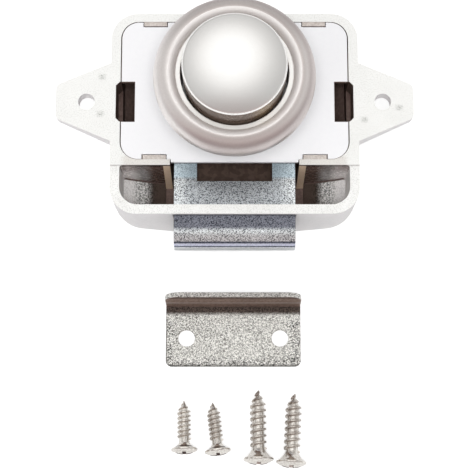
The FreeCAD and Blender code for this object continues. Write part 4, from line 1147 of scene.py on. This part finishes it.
FINISHES = (
    Finish("cast nickel", (0.955, 0.955, 0.935), (0.68, 0.68, 0.65), metallic=0.3,
           roughness=(0.45, 0.6), grains=4200, contrast=(0.34, 0.5), cloud_share=0.1, bump=0.35,
           zones=(
        Zone((0.7, 0.64, 0.59), side=(14.5, 27, 1), y=(-16.6, -13.6, 0.5), share=0.45),
        *(
            Zone((0.25, 0.26, 0.22), x=(x - 0.7, x + 0.7, 0.6), y=(y - 0.6, y + 0.6, 0.5),
                 specks=specks, share=share)
            for x, y in EJECTOR_MARKS for specks, share in ((True, 0.95), (False, 0.22))
        ),
    )),
    # Painted shade: the case's walls, a darker copy of the casting's nickel for the lesser light
    # on them.
    Finish("cast flank", (0.83, 0.81, 0.815), (0.79, 0.77, 0.775), metallic=0.2,
           roughness=(0.45, 0.55), grains=1500, bump=0.05),
    # Painted shade: dark brown for the case's hollow, the cover plate's sunk edges and the
    # rosette's underside, where only shade falls.
    Finish("cast inside", (0.2, 0.135, 0.117), (0.13, 0.086, 0.073), metallic=0.3,
           roughness=(0.4, 0.55), grains=1200, bump=0.15),
    # Painted light: the back wall near white for the overhead light it reflects, with painted
    # shade darker at the top, darker still under the rim, grey and then dark brown towards the
    # bolt.
    Finish("pocket wall", (0.98, 0.93, 0.92), (0.95, 0.89, 0.87), metallic=0.1,
           roughness=(0.22, 0.3), grains=900, bump=0.05, zones=(
        Zone((0.42, 0.36, 0.35), side=(10, 40, 1), z=(-7, 1, 3.5)),
        Zone((0.4, 0.39, 0.39), side=(14, 24.2, 1.6), z=(-25, 1, 1)),
        Zone((0.18, 0.12, 0.1), side=(14, 21.4, 1.6), z=(-25, 1, 1), blend=Blend.COVER),
        Zone((0.25, 0.18, 0.17), side=(10, 40, 1), z=(-1.8, 1, 0.3)),
    )),
    # Painted highlight: the pocket's outer side, the casting's near-white a little brighter and
    # glossier, where light reaches into the pocket.
    Finish("pocket side", (0.98, 0.97, 0.95), (0.94, 0.92, 0.9), metallic=0.1,
           roughness=(0.3, 0.4), grains=1500),
    # Pocket floor: the casting's near-white with its dark stippled specks, and painted shade that
    # darkens its inner part towards the bolt and the corner at the back wall.
    Finish("pocket floor", (1, 0.98, 0.965), (0.78, 0.755, 0.745), metallic=0,
           roughness=(0.4, 0.55), grains=2400, contrast=(0.4, 0.56), cloud_share=0.1, bump=0.3,
           zones=(
        Zone((0.2, 0.21, 0.19), side=(20, 25, 1.2), z=(-25, 1, 1), specks=True),
        Zone((0.1, 0.073, 0.06), side=(10, 21.7, 1.2), z=(-25, 1, 1)),
        Zone((0.12, 0.08, 0.07), side=(10, 30, 1), y=(-16.2, -15, 0.15), blend=Blend.COVER),
    )),
    Finish("gusset beige", (1, 0.77, 0.57), (0.93, 0.7, 0.51), metallic=0.1,
           roughness=(0.35, 0.5), grains=900),
    # Painted shade: the cover plate's rounded edge, dark brown for the shade in the gap round the
    # plate.
    Finish("gap brown", (0.24, 0.17, 0.145), (0.17, 0.12, 0.1), metallic=0.1,
           roughness=(0.5, 0.6), grains=1500, bump=0.05),
    Finish("stake metal", (0.72, 0.66, 0.62), (0.52, 0.46, 0.42), metallic=0.3,
           roughness=(0.35, 0.5), grains=1800, bump=0.2),
    Finish("cover white", (0.885, 0.88, 0.895), (0.87, 0.865, 0.883), metallic=0,
           roughness=(0.35, 0.45), grains=900, bump=0.03),
    Finish("barrel nylon", (0.8, 0.8, 0.79), (0.74, 0.74, 0.73), metallic=0,
           roughness=(0.45, 0.55), bump=0.05),
    Finish("knob nickel", (0.96, 0.955, 0.945), (0.93, 0.925, 0.91), roughness=(0.16, 0.2),
           grains=3000, cloud_share=0.2, bump=0.01),
    # Painted reflection: the knob's nickel skirt, dark brown for the dark it reflects, painted
    # lighter brown low down to lift it out of the shade there, and a painted highlight streak at
    # the front right.
    Finish("knob skirt", (0.17, 0.112, 0.085), (0.13, 0.085, 0.063), metallic=0.5,
           roughness=(0.25, 0.35), grains=800, bump=0.02, zones=(
        Zone((0.62, 0.46, 0.38), x=(-13, 13, 1), z=(19, 23.6, 1.4), blend=Blend.COVER, share=0.85),
        Zone((0.42, 0.3, 0.17), x=(4.5, 8.5, 2.2), y=(-12, -6, 2.5), blend=Blend.COVER, share=0.7),
    )),
    # Painted highlight: the knob's edge bevel, light and less metallic than the knob so that it
    # shows bright.
    Finish("bright edge", (0.95, 0.94, 0.92), (0.93, 0.92, 0.9), metallic=0.2,
           roughness=(0.25, 0.35), bump=0),
    Finish("rosette nickel", (0.97, 0.93, 0.91), (0.91, 0.865, 0.845), roughness=(0.34, 0.42),
           cloud_share=0.4, bump=0.02, zones=(
        # Painted shade on the rosette: a darker crest and outer slope, left light on the left side
        # where the light falls, and a darker top.
        Zone((0.89, 0.865, 0.86), x=(-10, 25, 4), radius=(14.4, 16, 0.5)),
        Zone((0.75, 0.715, 0.715), x=(-10, 25, 4), radius=(16.8, 19, 0.7)),
        Zone((0.76, 0.745, 0.745), y=(8, 25, 5), radius=(13, 19, 0.5)),
    )),
    Finish("slope satin", (0.95, 0.915, 0.895), (0.91, 0.87, 0.85), metallic=0.45,
           roughness=(0.42, 0.5), bump=0.02),
    # Painted highlight: the land round the hole, lighter and less metallic than the rosette's
    # nickel so that it shows bright.
    Finish("lip cream", (1, 0.99, 0.96), (0.97, 0.96, 0.93), metallic=0.5,
           roughness=(0.28, 0.36), bump=0.02),
    Finish("rim shadow", (0.22, 0.2, 0.19), (0.16, 0.14, 0.13), metallic=0.4,
           roughness=(0.4, 0.5), bump=0.02),
    Finish("bolt zinc", (0.95, 0.985, 1), (0.1, 0.11, 0.13), metallic=0.85,
           roughness=(0.3, 0.45), grain=Grain.SPANGLE, grains=6400, contrast=(0.34, 0.47),
           cloud_share=0.08, bump=0.25, zones=(
        # Painted shade on the bolt inside the case.
        Zone((0.66, 0.67, 0.69), side=(-1, 12, 2), y=(-26.5, 30, 1)),
        # A bluish lighter band at the top of the window.
        Zone((0.62, 0.85, 0.98), side=(-1, 20, 1), y=(-18.6, -13, 0.5),
             blend=Blend.COVER, share=0.45),
        # Painted shade on the flat just in front of the case.
        Zone((0.24, 0.24, 0.28), side=(-1, 30, 1), y=(-31.2, -26.5, 0.7)),
        # Painted reflection bands across the bend of the nose: dark, bluish light, dark.
        Zone((0.2, 0.22, 0.28), y=(-60, -31.5, 0.5), z=(-3.25, -2.85, 0.08)),
        Zone((0.72, 0.76, 0.95), y=(-60, -31.5, 0.5), z=(-3.9, -3.25, 0.08),
             blend=Blend.COVER, share=0.8),
        Zone((0.2, 0.22, 0.3), y=(-60, -31.5, 0.5), z=(-4.3, -3.9, 0.08)),
        # Painted highlight on the nose below the bend.
        Zone((0.93, 0.97, 1), y=(-60, -31.5, 0.5), z=(-20, -4.4, 0.1),
             blend=Blend.COVER, share=0.88),
    )),
    # Painted shade: dark brown inside the bolt's fold.
    Finish("bolt inside", (0.165, 0.112, 0.09), (0.105, 0.07, 0.056), metallic=0.3,
           roughness=(0.4, 0.55), grain=Grain.SPANGLE, grains=1200, bump=0.2),
    Finish("strike zinc", (1, 0.985, 0.945), (0.17, 0.165, 0.15), metallic=0.85,
           roughness=(0.35, 0.5), grain=Grain.SPANGLE, grains=5800, contrast=(0.28, 0.6),
           cloud_share=0.1, bump=0.25, zones=(
        # The flange's top edge is darker, and dark brown as painted shade where it rounds over to
        # the inner side.
        Zone((0.66, 0.64, 0.64), x=(-14.3, 13.6, 1.2), z=(-13.9, -12, 0.1)),
        Zone((0.22, 0.17, 0.16), y=(-48.5, -46.95, 0.1), z=(-13.9, -12, 0.1)),
        # Painted reflection of the flange: a dark band on the base in front of the fold.
        Zone((0.13, 0.1, 0.09), y=(-49.15, -46, 0.7), z=(-24.5, -22.4, 0.1)),
        *(Zone((0.04, 0.04, 0.04), x=edge, y=(-63, -50.5, 0.5), specks=True)
          for edge in ((14, 18, 2.2), (-18, -15.6, 1.6))),
        Zone((0.06, 0.06, 0.06), x=(-18, 18, 1), y=(-63, -60.6, 1.6), specks=True),
        Zone((0.25, 0.25, 0.24), x=(-18, 18, 0.5), y=(-62.6, -61.9, 0.2), share=0.7),
        Zone((0.25, 0.25, 0.24), x=(-17.6, -17, 0.2), y=(-63, -50, 0.5), share=0.6),
    )),
    # Painted reflection: the flange's inner face, dark brown for the dark it reflects, darker at
    # the top, with a lighter painted streak across it.
    Finish("flange inside", (0.35, 0.24, 0.195), (0.22, 0.15, 0.12), metallic=0.4,
           roughness=(0.35, 0.5), grain=Grain.SPANGLE, grains=2400, bump=0.15, zones=(
        Zone((0.42, 0.36, 0.35), x=(-20, 20, 1), z=(-15.4, -13, 0.6)),
        Zone((0.52, 0.46, 0.44), x=(-20, 20, 1), z=(-19.6, -18.9, 0.25),
             blend=Blend.COVER, share=0.8),
    )),
    Finish("screw nickel", (0.97, 0.945, 0.89), (0.58, 0.53, 0.49), roughness=(0.1, 0.2),
           bump=0.25),
    # Painted shade: the threads, a darker copy of the screw's nickel.
    Finish("thread nickel", (0.84, 0.8, 0.74), (0.42, 0.37, 0.34), roughness=(0.2, 0.3)),
    # Painted shade in the screws' cross recesses.
    Finish("recess dark", (0.22, 0.18, 0.17), (0.14, 0.11, 0.105), roughness=(0.3, 0.4)),
    # Painted shade: the zinc plunger, nearly black brown as it sits in shade inside the case.
    Finish("plunger zinc", (0.12, 0.083, 0.07), (0.078, 0.053, 0.045), metallic=0.3,
           roughness=(0.45, 0.6), bump=0.2),
    Finish("pin steel", (0.66, 0.66, 0.66), (0.55, 0.55, 0.54), roughness=(0.2, 0.3), bump=0.05),
    Finish("spring steel", (0.45, 0.44, 0.43), (0.32, 0.31, 0.3), roughness=(0.25, 0.35),
           bump=0.05),
    Finish("bracket zinc", (0.68, 0.68, 0.64), (0.4, 0.39, 0.36), grain=Grain.SPANGLE,
           grains=3200, contrast=(0.2, 0.8), bump=0.2),
)

EAR_SCREWS = WoodScrews(
    "ear_screws", length=18.1, head=3.75, head_height=1.5, neck_end=4.2, thread=2.05,
    thread_start=4.0, pitch=1.58, turns=9,
    lies=(Lie(5.9, -86.75, 0.3), Lie(13.9, -87.55, -3.2)),
)
STRIKE_SCREWS = WoodScrews(
    "strike_screws", length=13.4, head=3.25, head_height=1.3, neck_end=2.9, thread=1.7,
    thread_start=3.8, pitch=1.14, turns=8,
    lies=(Lie(-12.4, -84.2, 1.3), Lie(-4.0, -84.55, 6.8)),
)

SPRINGS = (
    CoilSpring("knob_spring", "knob_press", (0, 0, 1), (0, 0, 0), length=28.897, stroke=7.5),
    *(CoilSpring(f"return_spring_{side}", "bolt_slide", (0, 1, 0), (0, -0.0143, 0),
                 length=22.194, stroke=6.0) for side in ("left", "right")),
)


def dress_nodes(frame: dict, materials: Materials) -> None:
    """Give every frame node the finish of its own material slot."""
    slots = {entry["node"]: entry["material_slot"] for entry in frame["record"]["subparts"]}
    for node, item in frame["nodes"].items():
        item.data.materials.clear()
        item.data.materials.append(materials[slots[node]])


def main() -> None:
    """Build the studio and make the finished pieces."""
    logging.basicConfig(level=logging.INFO, format="%(message)s")
    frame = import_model()
    groups = Groups()
    materials = {finish.name.replace(" ", "_"): finish.build(groups) for finish in FINISHES}
    dress_nodes(frame, materials)
    for piece in (*ROUNDED_PIECES, KnobCap(), Rosette(), *SPRINGS):
        piece.build(frame, materials)
    for screws in (EAR_SCREWS, STRIKE_SCREWS):
        screws.build(materials)
    Studio().build()
    deselect()
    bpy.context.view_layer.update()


if __name__ == "__main__":
    main()
